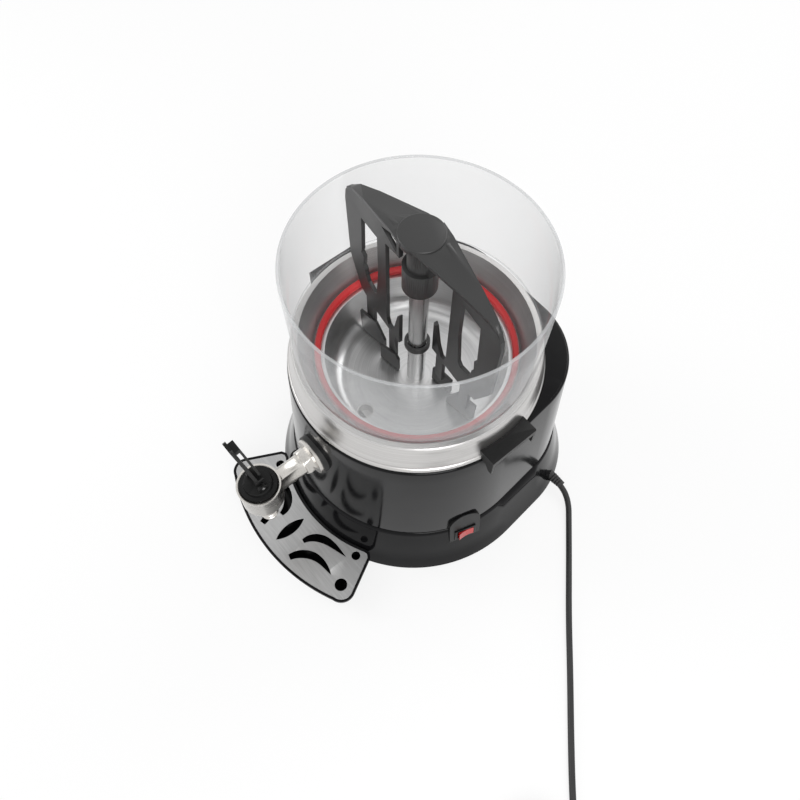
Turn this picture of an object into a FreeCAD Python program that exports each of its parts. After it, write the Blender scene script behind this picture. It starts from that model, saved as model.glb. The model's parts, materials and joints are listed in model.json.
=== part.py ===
import FreeCAD, Part
import math
import os

from FreeCAD import Matrix, Placement, Rotation, Vector

# Hot chocolate dispenser with a clear bowl, a steel pan, a stirrer and a lever tap.
# Millimetres, +Z up, the tap points to -Y. Every piece is drawn about the bowl's own axis, and
# the machine is moved back at the end, so that the origin is the middle of its footprint.

# Housing
DECK_Z = 214.0            # flat top of the housing
SEAM_Z = 71.5             # joint between the upper shell and the plinth
FRONT_R = 129.0           # round front of the housing at the deck
CORNER_R = 83.0           # round rear corners at the deck
CORNER_X = 41.0           # centre of a rear corner
CORNER_Y = 58.0
SHELL_SPREAD = 8.5        # how much wider the shell is at the seam
SHELL_WALL = 3.0
DECK_HOLE_R = 110.5
DECK_FILLET = 3.0
PLINTH_LEVELS = ((71.2, 9.0), (50.0, 14.5), (24.0, 21.0), (10.0, 26.0), (4.0, 28.0))
PLINTH_WALL = 3.0
TONGUE_H = 10.0           # tongue of the plinth inside the shell
TONGUE_T = 2.5
TONGUE_GAP = 0.3
BASE_Z = 5.0
BASE_T = 1.5
VENT_COUNT = 7
VENT_PITCH = 12.0
VENT_LENGTH = 70.0
VENT_WIDTH = 4.0
FOOT_R = 12.0
FOOT_X = 96.0
FOOT_FRONT_Y = -78.0
FOOT_REAR_Y = 108.0
FOOT_SCREW_R = 2.0
FOOT_SCREW_HEAD_R = 4.5
FOOT_SCREW_HEAD_H = 2.0

# Switch and thermostat
SWITCH_ANGLE = -17.0      # plan angle of the switch on the flank
SWITCH_Z = 59.0
PANEL_LOW = (145.0, 46.0)    # radius and height of the bezel's face at its lower edge
PANEL_HIGH = (137.8, 98.0)   # and at the top of its arch
PANEL_W = 36.0
PANEL_DEPTH = 14.0
FRAME_W = 25.0
FRAME_H = 19.0
FRAME_PROUD = 1.6
FRAME_EDGE = 3.0
SWITCH_DEPTH = 20.0
ROCKER_GAP = 0.6
ROCKER_PROUD = 1.8
ROCKER_TILT = 7.0
ROCKER_PIN_R = 1.1
KNOB_ANGLE = 197.0
KNOB_R = 15.0
KNOB_H = 13.0
KNOB_SKIRT_R = 17.0
KNOB_FLUTES = 14
KNOB_GAP = 0.6
SPINDLE_R = 3.0

# Bowl: clear wall, stepped steel ring, red gasket, pan and centre tube
RIM_Z = 364.6
WALL_FOOT_Z = 251.0
BOWL_RIM_R = 120.0
BOWL_FOOT_R = 118.0
BOWL_T = 3.0
LIP_R = 121.3
LIP_TOP_Z = 255.0
CONE_TOP_R = 115.0
CONE_LOW_R = 102.5
CONE_LOW_Z = 229.3
BEAD_R = 128.0
BEAD_TOP_R = 126.4
GROOVE_R = 125.2
SHOULDER_R = 121.0
SHOULDER_Z = 250.8
RING_T = 1.2
GASKET_R = 100.8
GASKET_INNER_R = 94.5
PAN_R = 92.2
PAN_FLANGE_R = 101.0
PAN_FLANGE_Z = 222.3
PAN_FLOOR_Z = 176.0
PAN_T = 1.2
PAN_CORNER_R = 22.0
TUBE_R = 9.0
TUBE_BORE_R = 8.0
TUBE_TOP_Z = 352.0

# Bowl handles
HANDLE_X = 140.0
HANDLE_HALF_W = 27.5
HANDLE_TOP_Z = 230.0
HANDLE_T = 3.0
HANDLE_END_T = 2.6
HANDLE_LOW_Z = 207.0
HANDLE_BACK_X = 128.5
HANDLE_SCREW_Y = 17.0
HANDLE_SCREW_R = 2.0

# Water bath, heater and drive
BATH_R = 109.2
BATH_T = 1.2
BATH_FLOOR_Z = 138.0
BATH_RIM_R = 119.0
SLEEVE_R = 7.4
SLEEVE_BORE_R = 6.6
SLEEVE_TOP_Z = 336.0
BUSH_H = 16.0
HEATER_R = 80.0
HEATER_TUBE_R = 4.0
HEATER_Z = 146.4
HEATER_LEG_ANGLES = (112.0, 68.0)
HEATER_LEG_Z = 122.0
HEATER_NUT_R = 8.0
SHAFT_R = 5.0
SHAFT_TOP_Z = 390.0
SHAFT_FLAT = 1.2
SHAFT_FLAT_H = 24.0
SHAFT_LOW_Z = 104.0
RUN_GAP = 0.05
PLATE_Z = 112.0
PLATE_T = 2.0
PLATE_HALF = 48.0
STUD_XY = 38.0
STUD_R = 4.0
LUG_XY = 27.4
LUG_R = 6.5
GEARBOX_R = 34.0
GEARBOX_H = 26.0
MOTOR_R = 30.0
MOTOR_LOW_Z = 44.0
COUPLING_R = 9.0
COUPLING_LOW_Z = 114.5
COUPLING_H = 16.0
SENSOR_R = 4.0
SENSOR_X = 62.0
TERMINAL_Y = 96.0

# Agitator
WING_ANGLE = 172.0        # plan direction of the left wing
BLADE_FACE = 14.0         # outer face of a wing, measured sideways from the axis
BLADE_T = 4.0
HUB_R = 20.5
HUB_TOP_Z = 400.0
HUB_DISC_T = 6.0
NECK_R = 12.0
NECK_LOW_Z = 360.0
COLLAR_R = 16.0
COLLAR_LOW_Z = 331.0
COLLAR_BORE_R = 9.6
CLIP_Z = 235.5
CLIP_H = 7.0
CLIP_R = 12.6
CLIP_BORE_R = 9.5
CLIP_SLOT = 6.0
FLANGE_HALF = 20.0
FLANGE_T = 3.5
PAD_T = 3.0
PAD_GAP = 1.2             # wiper pads clear the pan floor by this much
PAD_TURN = 15.0

# Outlet and tap
TAP_Z = 162.0
OUTLET_Y = -67.0
OUTLET_R = 9.5
OUTLET_BORE_R = 7.5
SOCKET_R = 12.0
SEAL_R = 21.5
SEAL_Y = -135.5
WASHER_R = 19.5
WASHER_Y = -139.0
NUT_Y = -149.5
NUT_FLATS = 25.0
THREAD_REACH = 3.0
PIPE_R = 11.0
PIPE_FLAT = 1.6
CUP_Y = -197.0
CUP_R = 21.0
CUP_TOP_Z = 183.0
CUP_BORE_R = 18.4
CUP_LEDGE_Z = 172.0
CHAMBER_R = 11.0
SEAT_Z = 151.0
CUP_LOW_Z = 144.0
NOZZLE_R = 8.5
NOZZLE_BORE_R = 6.2
NOZZLE_LOW_Z = 103.0
NOZZLE_RIBS = 6
BONNET_R = 18.3
BONNET_STEP_Z = 185.0
BONNET_TOP_Z = 189.5
BONNET_STEP_R = 13.5
STEM_R = 3.0
STEM_LIFT = 5.0
STEM_TOP_Z = 198.5
SEAT_PLUG_R = 9.0
PIVOT_Z = 194.0
PIVOT_R = 1.6
PIN_GAP = 0.02
EAR_X = 9.8
EAR_T = 3.0
CHEEK_X = 6.4
CHEEK_T = 3.2
LEVER_LEAN = 7.0
LEVER_LENGTH = 92.0
LEVER_W = 13.0
LEVER_T = 3.2
LEVER_REAR_T = 2.2
LEVER_REAR_GAP = 3.4
SPRING_R = 6.6
SPRING_WIRE_R = 0.6
SPRING_TURNS = 5.0
SPRING_STEPS = 14         # straight pieces in a turn

# Drip tray and grille
TRAY_TOP_Z = 24.3
GRILLE_Z = 24.0
GRILLE_T = 1.0
TRAY_EDGE = 3.0           # black rim around the grille
TRAY_FIT = 0.35
TRAY_RIM_H = 3.2
TRAY_LOW_Z = 0.5
TRAY_FLOOR_T = 2.0
TRAY_WALL = 2.4
TRAY_INNER_R = 151.6
TRAY_OUTER_R = 217.0
TRAY_INNER_X = 74.0
TRAY_REAR = (79.5, -131.0)   # the rear corner is rounded in two steps
TRAY_MID = (85.0, -134.3)
TRAY_FLANK = (105.6, -174.0)
TRAY_BULGE = (104.6, -188.0)
TRAY_NOSE_X = 95.0
TRAY_TAPER_X = 0.86
TRAY_TAPER_Y = 0.64
TRAY_CENTRE_Y = -176.0
SMALL_HOLE_R = 5.0
SMALL_HOLE = (72.5, -145.0)
BIG_HOLE_R = 7.0
BIG_HOLE = (87.7, -178.0)
LENS_Y = (-163.6, -202.9)
LENS_HALF_W = 6.0

# Mains lead
CORD_R = 3.5
CORD_SHARE = 0.45         # share of the shorter run that each bend takes
COIL_X = 417.9
COIL_Y = -195.6
COIL_R = 38.5
COIL_HALF_W = 7.0
COIL_H = 14.0
COIL_ROUND = 3.4
RELIEF_R = 6.0
RELIEF_NECK_R = 4.6
RELIEF_LEN = 21.0
PLUG_ANGLE = 227.5        # plan direction in which the plug points
PLUG_R = 17.5
PLUG_TAIL = 20.0
PLUG_NECK_LEN = 26.0
PLUG_BODY_LEN = 30.0
PIN_R = 2.4
PIN_LEN = 19.0
PIN_HALF_SPACING = 9.5

UP = Vector(0, 0, 1)
FRONT = Vector(0, -1, 0)
RIGHT = Vector(1, 0, 0)


def cylinder(radius, height, base, direction=UP):
    """Cylinder from its base point along direction."""
    return Part.makeCylinder(radius, height, base, direction)


def tube(outer, inner, z, height):
    """Upright tube about the bowl's axis."""
    base = Vector(0, 0, z)
    return cylinder(outer, height, base).cut(cylinder(inner, height, base))


def block(x0, x1, y0, y1, z0, z1):
    """Box between two corners."""
    return Part.makeBox(x1 - x0, y1 - y0, z1 - z0, Vector(x0, y0, z0))


def centred_box(width, height, low, high):
    """Box centred on the z axis, from low to high along it."""
    return block(-width / 2.0, width / 2.0, -height / 2.0, height / 2.0, low, high)


def face_of(points):
    """Flat face inside a closed chain of points."""
    return Part.Face(Part.makePolygon(points + [points[0]]))


def ring_of(count, radius, centre, across, up):
    """Closed ring of straight sides around a centre, in the plane of two directions."""
    points = []
    for index in range(count):
        turn = 2.0 * math.pi * index / count
        points.append(centre + across * (radius * math.cos(turn)) + up * (radius * math.sin(turn)))
    return Part.makePolygon(points + [points[0]])


def revolve(profile):
    """Turn a closed chain of (radius, height) pairs about the bowl's axis."""
    return face_of([Vector(r, 0, z) for r, z in profile]).revolve(Vector(), UP, 360.0)


def sheet(path, thickness):
    """Closed profile of a sheet that follows path, thickened to the left of its direction."""
    left = []
    for index in range(len(path)):
        r, z = path[index]
        r0, z0 = path[max(index - 1, 0)]
        r1, z1 = path[min(index + 1, len(path) - 1)]
        length = math.hypot(r1 - r0, z1 - z0)
        left.append((r - (z1 - z0) / length * thickness, z + (r1 - r0) / length * thickness))
    return path + left[::-1]


def polar(radius, angle, z=0.0):
    """Point at a radius and an angle in degrees about the bowl's axis."""
    turn = math.radians(angle)
    return Vector(radius * math.cos(turn), radius * math.sin(turn), z)


def placed(shape, placement):
    """Copy of a shape drawn at the origin, set at a placement."""
    copy = shape.copy()
    copy.Placement = placement.multiply(copy.Placement)
    return copy


def mirrored(shape):
    """Copy of a shape mirrored from side to side."""
    return shape.mirror(Vector(), RIGHT)


def both_sides(shape):
    """A shape and its mirror image, as separate solids."""
    return [shape, mirrored(shape)]


# Outline of the housing: a round front, two round rear corners and the tangents between them

def flank_angle():
    """Angle of the straight flank between the front circle and a corner circle."""
    span = math.hypot(CORNER_X, CORNER_Y)
    return math.atan2(CORNER_Y, CORNER_X) - math.acos((FRONT_R - CORNER_R) / span)


def outline(spread, z):
    """Closed outline of the housing, widened by spread from its size at the deck."""
    turn = flank_angle()
    mid = (turn + math.pi / 2.0) / 2.0
    front = FRONT_R + spread
    corner = CORNER_R + spread

    def on_front(side):
        return Vector(side * front * math.cos(turn), front * math.sin(turn), z)

    def on_corner(angle, side):
        return Vector(side * (CORNER_X + corner * math.cos(angle)), CORNER_Y + corner * math.sin(angle), z)

    rear_right = Vector(CORNER_X, CORNER_Y + corner, z)
    rear_left = Vector(-CORNER_X, CORNER_Y + corner, z)
    return Part.Wire([
        Part.Arc(on_front(-1), Vector(0, -front, z), on_front(1)).toShape(),
        Part.LineSegment(on_front(1), on_corner(turn, 1)).toShape(),
        Part.Arc(on_corner(turn, 1), on_corner(mid, 1), rear_right).toShape(),
        Part.LineSegment(rear_right, rear_left).toShape(),
        Part.Arc(rear_left, on_corner(mid, -1), on_corner(turn, -1)).toShape(),
        Part.LineSegment(on_corner(turn, -1), on_front(-1)).toShape(),
    ])


def stack(levels, inset=0.0):
    """Solid through the outlines at (height, spread) levels, drawn in by inset."""
    return Part.makeLoft([outline(spread - inset, z) for z, spread in levels], True, True)


def shell_spread(z):
    """Spread of the upper shell at a height."""
    return SHELL_SPREAD * (DECK_Z - z) / (DECK_Z - SEAM_Z)


def plinth_spread(z):
    """Spread of the plinth at a height, between its levels."""
    levels = PLINTH_LEVELS[::-1]
    for (z0, s0), (z1, s1) in zip(levels, levels[1:]):
        if z <= z1:
            return s0 + (s1 - s0) * (z - z0) / (z1 - z0)
    return levels[-1][1]


def upper_shell():
    """Moulded shell with its flat deck, a collar for the water bath and the tap hole."""
    solid = stack([(SEAM_Z, SHELL_SPREAD), (DECK_Z, 0.0)])
    rim = [edge for edge in solid.Edges if edge.BoundBox.ZMin > DECK_Z - 0.01]
    solid = solid.makeFillet(DECK_FILLET, rim)
    under = DECK_Z - SHELL_WALL
    hollow = stack([(SEAM_Z - 1.0, shell_spread(SEAM_Z - 1.0)), (under, shell_spread(under))], SHELL_WALL)
    shell = solid.cut(hollow).cut(cylinder(DECK_HOLE_R, 20.0, Vector(0, 0, DECK_Z - 10.0)))
    collar = tube(DECK_HOLE_R + 2.5, DECK_HOLE_R, under - 8.0, 8.5)
    tap_hole = cylinder(OUTLET_R + 0.4, 60.0, Vector(0, -100.0, TAP_Z), FRONT)
    return shell.fuse(collar).cut(tap_hole)


def plinth_base():
    """Flared plinth with a tongue that locates the shell."""
    solid = stack(PLINTH_LEVELS).cut(stack(PLINTH_LEVELS, PLINTH_WALL))
    seam, seam_spread = PLINTH_LEVELS[0]
    root = seam - 6.0
    top = SEAM_Z + TONGUE_H
    inset = SHELL_WALL + TONGUE_GAP
    levels = [(root, SHELL_SPREAD), (SEAM_Z, SHELL_SPREAD), (top, shell_spread(top))]
    tongue = stack(levels, inset).cut(stack(levels, inset + TONGUE_T))
    band = [(root, plinth_spread(root)), (seam, seam_spread)]
    core = [(root, SHELL_SPREAD), (seam, SHELL_SPREAD)]
    shelf = stack(band, 0.5).cut(stack(core, inset + TONGUE_T))
    return solid.fuse(shelf).fuse(tongue)


def panel_frame(angle):
    """Placement on a bezel's face: x along the wall, y up the wall and z out of it."""
    rise = PANEL_HIGH[1] - PANEL_LOW[1]
    fall = PANEL_LOW[0] - PANEL_HIGH[0]
    radius = PANEL_LOW[0] - fall * (SWITCH_Z - PANEL_LOW[1]) / rise
    lean = math.degrees(math.atan2(fall, rise))
    rotation = Rotation(UP, angle + 90.0).multiply(Rotation(RIGHT, 90.0 - lean))
    return Placement(polar(radius, angle, SWITCH_Z), rotation)


def arched_bezel(angle, hole):
    """Arched pad on the wall, its face flat, its back shaped to the housing."""
    half = PANEL_W / 2.0
    low = PANEL_LOW[1] - SWITCH_Z
    high = PANEL_HIGH[1] - SWITCH_Z
    back = -PANEL_DEPTH
    spring = high - half
    edges = [
        Part.LineSegment(Vector(-half, spring, back), Vector(-half, low, back)).toShape(),
        Part.LineSegment(Vector(-half, low, back), Vector(half, low, back)).toShape(),
        Part.LineSegment(Vector(half, low, back), Vector(half, spring, back)).toShape(),
        Part.Arc(Vector(half, spring, back), Vector(0, high, back), Vector(-half, spring, back)).toShape(),
    ]
    pad = Part.Face(Part.Wire(edges)).extrude(Vector(0, 0, PANEL_DEPTH))
    return placed(pad, panel_frame(angle)).cut(housing_solid).cut(hole)


# Mains lead: straight runs joined by tangent bends

LEAD = (
    (138.0, 98.3, 12.0),
    (158.6, 100.0, 10.6),
    (178.6, 93.2, 6.4),
    (197.5, 75.0, 3.6),
    (231.5, 40.6, 3.5),
    (273.5, -2.6, 3.5),
    (318.0, -45.6, 3.5),
    (363.0, -90.4, 3.5),
    (405.0, -131.0, 3.5),
    (428.0, -152.3, 3.5),
)


def lead_shape(points, radius):
    """Round lead along straight runs with a tangent bend at every inner point."""
    nodes = [Vector(*point) for point in points]
    edges = []
    radii = []
    start = nodes[0]
    for before, here, after in zip(nodes, nodes[1:], nodes[2:]):
        back = before - here
        ahead = after - here
        reach = CORD_SHARE * min(back.Length, ahead.Length)
        back.normalize()
        ahead.normalize()
        half = (math.pi - back.getAngle(ahead)) / 2.0
        bend = reach / math.tan(half)
        enter = here + back * reach
        leave = here + ahead * reach
        bisector = back + ahead
        bisector.normalize()
        middle = here + bisector * (bend / math.cos(half) - bend)
        edges.append(Part.LineSegment(start, enter).toShape())
        edges.append(Part.Arc(enter, middle, leave).toShape())
        radii.append(round(bend, 1))
        start = leave
    edges.append(Part.LineSegment(start, nodes[-1]).toShape())
    ring = Part.Wire(Part.makeCircle(radius, nodes[0], nodes[1] - nodes[0]))
    print("bend radii of the lead, mm:", radii)
    return Part.Wire(edges).makePipeShell([ring], True, False)


def cord_coil():
    """Put-away coil of the lead as one closed ring."""
    base = Vector(COIL_X, COIL_Y, 0.0)
    ring = cylinder(COIL_R + COIL_HALF_W, COIL_H, base).cut(cylinder(COIL_R - COIL_HALF_W, COIL_H, base))
    return ring.makeChamfer(COIL_ROUND, [e for e in ring.Edges if e.BoundBox.ZLength < 0.01])


def strain_relief():
    """Tapered rubber sleeve around the lead where it leaves the plinth."""
    base = lead_start + lead_heading * 0.5
    sleeve = Part.makeCone(RELIEF_R, RELIEF_NECK_R, RELIEF_LEN, base, lead_heading)
    neck = cylinder(RELIEF_R - 1.3, 12.0, base - lead_heading * 7.0, lead_heading)
    collars = []
    for index in range(4):
        place = base + lead_heading * (6.0 + 3.2 * index)
        collars.append(cylinder(RELIEF_R - 0.3 * index, 1.4, place, lead_heading))
    return sleeve.fuse(collars).cut(housing_solid).fuse(neck).cut(lead)


def mains_plug():
    """Round mains plug lying beside the coil: a ribbed neck and a flat-faced body."""
    along = polar(1.0, PLUG_ANGLE)
    across = polar(1.0, PLUG_ANGLE + 90.0)
    start = Vector(COIL_X, COIL_Y, PLUG_R) + across * COIL_R + along * PLUG_TAIL
    plug = Part.makeCone(CORD_R + 1.1, PLUG_R / 2.0, PLUG_NECK_LEN, start, along)
    for index in range(4):
        place = start + along * (6.0 + 5.0 * index)
        plug = plug.fuse(cylinder(CORD_R + 2.4 + 0.7 * index, 1.6, place, along))
    shoulder = Part.makeCone(PLUG_R / 2.0, PLUG_R, 8.0, start + along * (PLUG_NECK_LEN - 1.0), along)
    body = cylinder(PLUG_R, PLUG_BODY_LEN - 7.0, start + along * (PLUG_NECK_LEN + 7.0), along)
    plug = plug.fuse([shoulder, body])
    face = start + along * (PLUG_NECK_LEN + PLUG_BODY_LEN)
    pins = []
    for side in (-1, 1):
        root = face + across * (side * PIN_HALF_SPACING)
        pins.append(cylinder(PIN_R, PIN_LEN, root, along).fuse(Part.makeSphere(PIN_R, root + along * PIN_LEN)))
    print("plug neck starts at", start, "plug face at", face)
    pins = Part.makeCompound(pins)
    return plug.cut(pins), pins


housing_solid = stack(PLINTH_LEVELS).fuse(stack([(SEAM_Z - 0.3, shell_spread(SEAM_Z - 0.3)), (DECK_Z, 0.0)]))
lead = lead_shape(LEAD, CORD_R)
lead_start = Vector(*LEAD[0])
lead_heading = Vector(*LEAD[1]) - lead_start
lead_heading.normalize()
relief_hole = cylinder(RELIEF_R - 1.2, 30.0, lead_start - lead_heading * 15.0, lead_heading)
switch_hole = placed(centred_box(FRAME_W - 4.0, FRAME_H - 4.0, -34.0, 10.0), panel_frame(SWITCH_ANGLE))
knob_hole = placed(cylinder(SPINDLE_R + 2.0, 44.0, Vector(0, 0, -34.0)), panel_frame(KNOB_ANGLE))

parts = {}
parts["upper_shell"] = upper_shell()
parts["plinth_base"] = plinth_base().cut(switch_hole).cut(knob_hole).cut(relief_hole)


def foot_places():
    """Centres of the four feet."""
    return [(side * FOOT_X, y) for side in (-1, 1) for y in (FOOT_FRONT_Y, FOOT_REAR_Y)]


def bottom_plate():
    """Flat steel plate inside the foot of the plinth, with cooling slots."""
    spread = plinth_spread(BASE_Z + BASE_T) - PLINTH_WALL - 0.4
    plate = stack([(BASE_Z, spread), (BASE_Z + BASE_T, spread)])
    first = -(VENT_COUNT - 1) / 2.0 * VENT_PITCH
    slots = []
    for index in range(VENT_COUNT):
        y = first + index * VENT_PITCH
        slots.append(block(-VENT_LENGTH / 2.0, VENT_LENGTH / 2.0, y, y + VENT_WIDTH, 0.0, 20.0))
    for x, y in foot_places():
        slots.append(cylinder(FOOT_SCREW_R, 20.0, Vector(x, y, 0)))
    return plate.cut(Part.makeCompound(slots))


def rubber_feet():
    """Four round rubber feet, each hollow under its screw."""
    feet = []
    for x, y in foot_places():
        foot = Part.makeCone(FOOT_R - 1.5, FOOT_R, BASE_Z, Vector(x, y, 0))
        foot = foot.cut(cylinder(FOOT_SCREW_HEAD_R + 0.5, 3.0, Vector(x, y, 0)))
        feet.append(foot.cut(cylinder(FOOT_SCREW_R, 10.0, Vector(x, y, 0))))
    return Part.makeCompound(feet)


def base_screws():
    """Screws up through the feet and the plate."""
    screws = []
    for x, y in foot_places():
        head = cylinder(FOOT_SCREW_HEAD_R, FOOT_SCREW_HEAD_H, Vector(x, y, 3.0 - FOOT_SCREW_HEAD_H))
        screws.append(head.fuse(cylinder(FOOT_SCREW_R, 9.0, Vector(x, y, 3.0))))
    return Part.makeCompound(screws)


parts["bottom_plate"] = bottom_plate()
parts["rubber_feet"] = rubber_feet()
parts["base_screws"] = base_screws()


# Switch and thermostat

def rocker_pin(radius):
    """Stub pins of the rocker, on the line it tips about, in the panel's own frame."""
    half = FRAME_H / 2.0 - FRAME_EDGE + 0.4
    return cylinder(radius, 2.0 * half, Vector(0, -half, -1.5), Vector(0, 1, 0))


def switch_body():
    """Frame of the switch with its box behind the panel and two blade terminals."""
    lip = centred_box(FRAME_W, FRAME_H, 0.0, FRAME_PROUD)
    lip = lip.makeFillet(1.0, [e for e in lip.Edges if e.BoundBox.ZMin > FRAME_PROUD - 0.01])
    box = centred_box(FRAME_W - 4.4, FRAME_H - 4.4, -SWITCH_DEPTH, 0.0)
    well = centred_box(FRAME_W - 2.0 * FRAME_EDGE, FRAME_H - 2.0 * FRAME_EDGE, -9.0, 5.0)
    body = lip.fuse(box).cut(well).cut(rocker_pin(ROCKER_PIN_R + RUN_GAP))
    for x in (-5.0, 5.0):
        body = body.fuse(block(x - 2.4, x + 2.4, -0.4, 0.4, -SWITCH_DEPTH - 8.0, -SWITCH_DEPTH))
    return placed(body, panel_frame(SWITCH_ANGLE))


def power_rocker():
    """Rocker with a hollowed face that tips about its middle, set to off at rest."""
    half = FRAME_W / 2.0 - FRAME_EDGE - ROCKER_GAP
    depth = FRAME_H - 2.0 * (FRAME_EDGE + ROCKER_GAP / 2.0)
    top = FRAME_PROUD + ROCKER_PROUD
    y = -depth / 2.0
    side = Part.Wire([
        Part.LineSegment(Vector(1.0 - half, y, -3.0), Vector(half - 1.0, y, -3.0)).toShape(),
        Part.LineSegment(Vector(half - 1.0, y, -3.0), Vector(half, y, top)).toShape(),
        Part.Arc(Vector(half, y, top), Vector(0, y, top - 1.3), Vector(-half, y, top)).toShape(),
        Part.LineSegment(Vector(-half, y, top), Vector(1.0 - half, y, -3.0)).toShape(),
    ])
    rocker = Part.Face(side).extrude(Vector(0, depth, 0))
    rocker.rotate(Vector(0, 0, -1.5), Vector(0, 1, 0), ROCKER_TILT)
    rocker = rocker.fuse(rocker_pin(ROCKER_PIN_R))
    return placed(rocker, panel_frame(SWITCH_ANGLE))


def thermostat_knob():
    """Fluted knob with a skirt and a pointer groove."""
    knob = cylinder(KNOB_SKIRT_R, 2.5, Vector(0, 0, KNOB_GAP))
    knob = knob.fuse(Part.makeCone(KNOB_R, KNOB_R - 1.5, KNOB_H, Vector(0, 0, KNOB_GAP + 2.0)))
    flutes = []
    for index in range(KNOB_FLUTES):
        place = polar(KNOB_R + 0.8, index * 360.0 / KNOB_FLUTES, KNOB_GAP + 3.5)
        flutes.append(cylinder(1.8, KNOB_H + 2.0, place))
    groove = block(-0.7, 0.7, 2.0, KNOB_R + 4.0, KNOB_GAP + KNOB_H + 0.8, KNOB_GAP + KNOB_H + 4.0)
    bore = cylinder(SPINDLE_R, 9.0, Vector(0, 0, 0))
    return placed(knob.cut(Part.makeCompound(flutes)).cut(groove).cut(bore), panel_frame(KNOB_ANGLE))


def thermostat_body():
    """Thermostat behind the panel: a spindle through the wall and a round box."""
    body = cylinder(SPINDLE_R - RUN_GAP, 25.0, Vector(0, 0, -17.0))
    body = body.fuse(cylinder(14.0, 12.0, Vector(0, 0, -28.5)))
    body = body.fuse(cylinder(SPINDLE_R + 1.8, 12.5, Vector(0, 0, -17.0)))
    for x in (-6.0, 6.0):
        body = body.fuse(block(x - 3.0, x + 3.0, -0.4, 0.4, -36.0, -28.0))
    return placed(body, panel_frame(KNOB_ANGLE))


parts["switch_bezel"] = arched_bezel(SWITCH_ANGLE, switch_hole)
parts["knob_bezel"] = arched_bezel(KNOB_ANGLE, knob_hole)
parts["switch_body"] = switch_body()
parts["power_rocker"] = power_rocker()
parts["thermostat_knob"] = thermostat_knob()
parts["thermostat_body"] = thermostat_body()


# Water bath, heater and drive

def water_bath_tank():
    """Steel tank with a rim on the deck and a tall sleeve for the shaft."""
    rim_z = DECK_Z + 0.1
    path = [
        (SLEEVE_BORE_R, BATH_FLOOR_Z),
        (BATH_R - 12.0, BATH_FLOOR_Z),
        (BATH_R - 3.5, BATH_FLOOR_Z + 3.5),
        (BATH_R, BATH_FLOOR_Z + 12.0),
        (BATH_R, rim_z),
        (BATH_RIM_R, rim_z),
    ]
    tank = revolve(sheet(path, BATH_T))
    tank = tank.fuse(tube(SLEEVE_R, SLEEVE_BORE_R, BATH_FLOOR_Z, SLEEVE_TOP_Z - BATH_FLOOR_Z))
    holes = [cylinder(OUTLET_R + 0.3, 60.0, Vector(0, -80.0, TAP_Z), FRONT)]
    for angle in HEATER_LEG_ANGLES:
        holes.append(cylinder(HEATER_TUBE_R, 30.0, polar(HEATER_R, angle, BATH_FLOOR_Z - 15.0)))
    holes.append(cylinder(SENSOR_R, 30.0, Vector(SENSOR_X, 0, BATH_FLOOR_Z - 15.0)))
    return tank.cut(Part.makeCompound(holes))


def heating_element():
    """Tubular heater bent to nearly a full ring, with both legs down through the floor."""
    first, last = HEATER_LEG_ANGLES
    ring = Part.makeCircle(HEATER_R, Vector(0, 0, HEATER_Z), UP, first, 360.0 + last)
    section = ring_of(8, HEATER_TUBE_R, polar(HEATER_R, first, HEATER_Z), polar(1.0, first), UP)
    coil = Part.Wire([ring]).makePipeShell([section], True, False)
    for angle in HEATER_LEG_ANGLES:
        coil = coil.fuse(Part.makeSphere(HEATER_TUBE_R, polar(HEATER_R, angle, HEATER_Z)))
        coil = coil.fuse(cylinder(HEATER_TUBE_R, HEATER_Z - HEATER_LEG_Z, polar(HEATER_R, angle, HEATER_LEG_Z)))
    return coil


def heater_terminals():
    """Clamp nuts under the tank floor and the blade terminals below the legs."""
    pieces = []
    for angle in HEATER_LEG_ANGLES:
        foot = polar(HEATER_R, angle, BATH_FLOOR_Z - 6.0)
        pieces.append(cylinder(HEATER_NUT_R, 6.0, foot).cut(cylinder(HEATER_TUBE_R, 6.0, foot)))
        x, y = foot.x, foot.y
        pieces.append(block(x - 3.1, x + 3.1, y - 0.5, y + 0.5, HEATER_LEG_Z - 12.0, HEATER_LEG_Z))
    return Part.makeCompound(pieces)


def stud_places(reach):
    """Four places around the shaft, at plus and minus reach in x and y."""
    return [(x, y) for x in (-reach, reach) for y in (-reach, reach)]


def motor_bracket():
    """Square steel plate below the tank, with a hole for the coupling."""
    plate = block(-PLATE_HALF, PLATE_HALF, -PLATE_HALF, PLATE_HALF, PLATE_Z, PLATE_Z + PLATE_T)
    plate = plate.makeFillet(8.0, [e for e in plate.Edges if e.BoundBox.ZLength > 1.0])
    return plate.cut(cylinder(COUPLING_R + 1.5, 20.0, Vector(0, 0, PLATE_Z - 10.0)))


def bracket_standoffs():
    """Round spacers from the bracket up to the tank floor."""
    low = PLATE_Z + PLATE_T
    places = stud_places(STUD_XY)
    return Part.makeCompound([cylinder(STUD_R, BATH_FLOOR_Z - low, Vector(x, y, low)) for x, y in places])


def gearbox():
    """Die-cast gearbox below the bracket, with four lugs."""
    low = PLATE_Z - GEARBOX_H
    box = cylinder(GEARBOX_R, GEARBOX_H, Vector(0, 0, low))
    box = box.makeFillet(2.0, [e for e in box.Edges if e.BoundBox.ZMax < low + 0.01])
    for x, y in stud_places(LUG_XY):
        box = box.fuse(cylinder(LUG_R, 6.0, Vector(x, y, PLATE_Z - 6.0)))
    return box.cut(cylinder(SHAFT_R + RUN_GAP, 10.0, Vector(0, 0, PLATE_Z - 10.0)))


def gear_motor():
    """Motor can under the gearbox, with a band and a rear bearing boss."""
    can = cylinder(MOTOR_R, PLATE_Z - GEARBOX_H - MOTOR_LOW_Z, Vector(0, 0, MOTOR_LOW_Z))
    band = tube(MOTOR_R + 2.0, MOTOR_R - 0.5, MOTOR_LOW_Z + 10.0, 12.0)
    return can.fuse(band).fuse(cylinder(8.0, 5.0, Vector(0, 0, MOTOR_LOW_Z - 5.0)))


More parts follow.
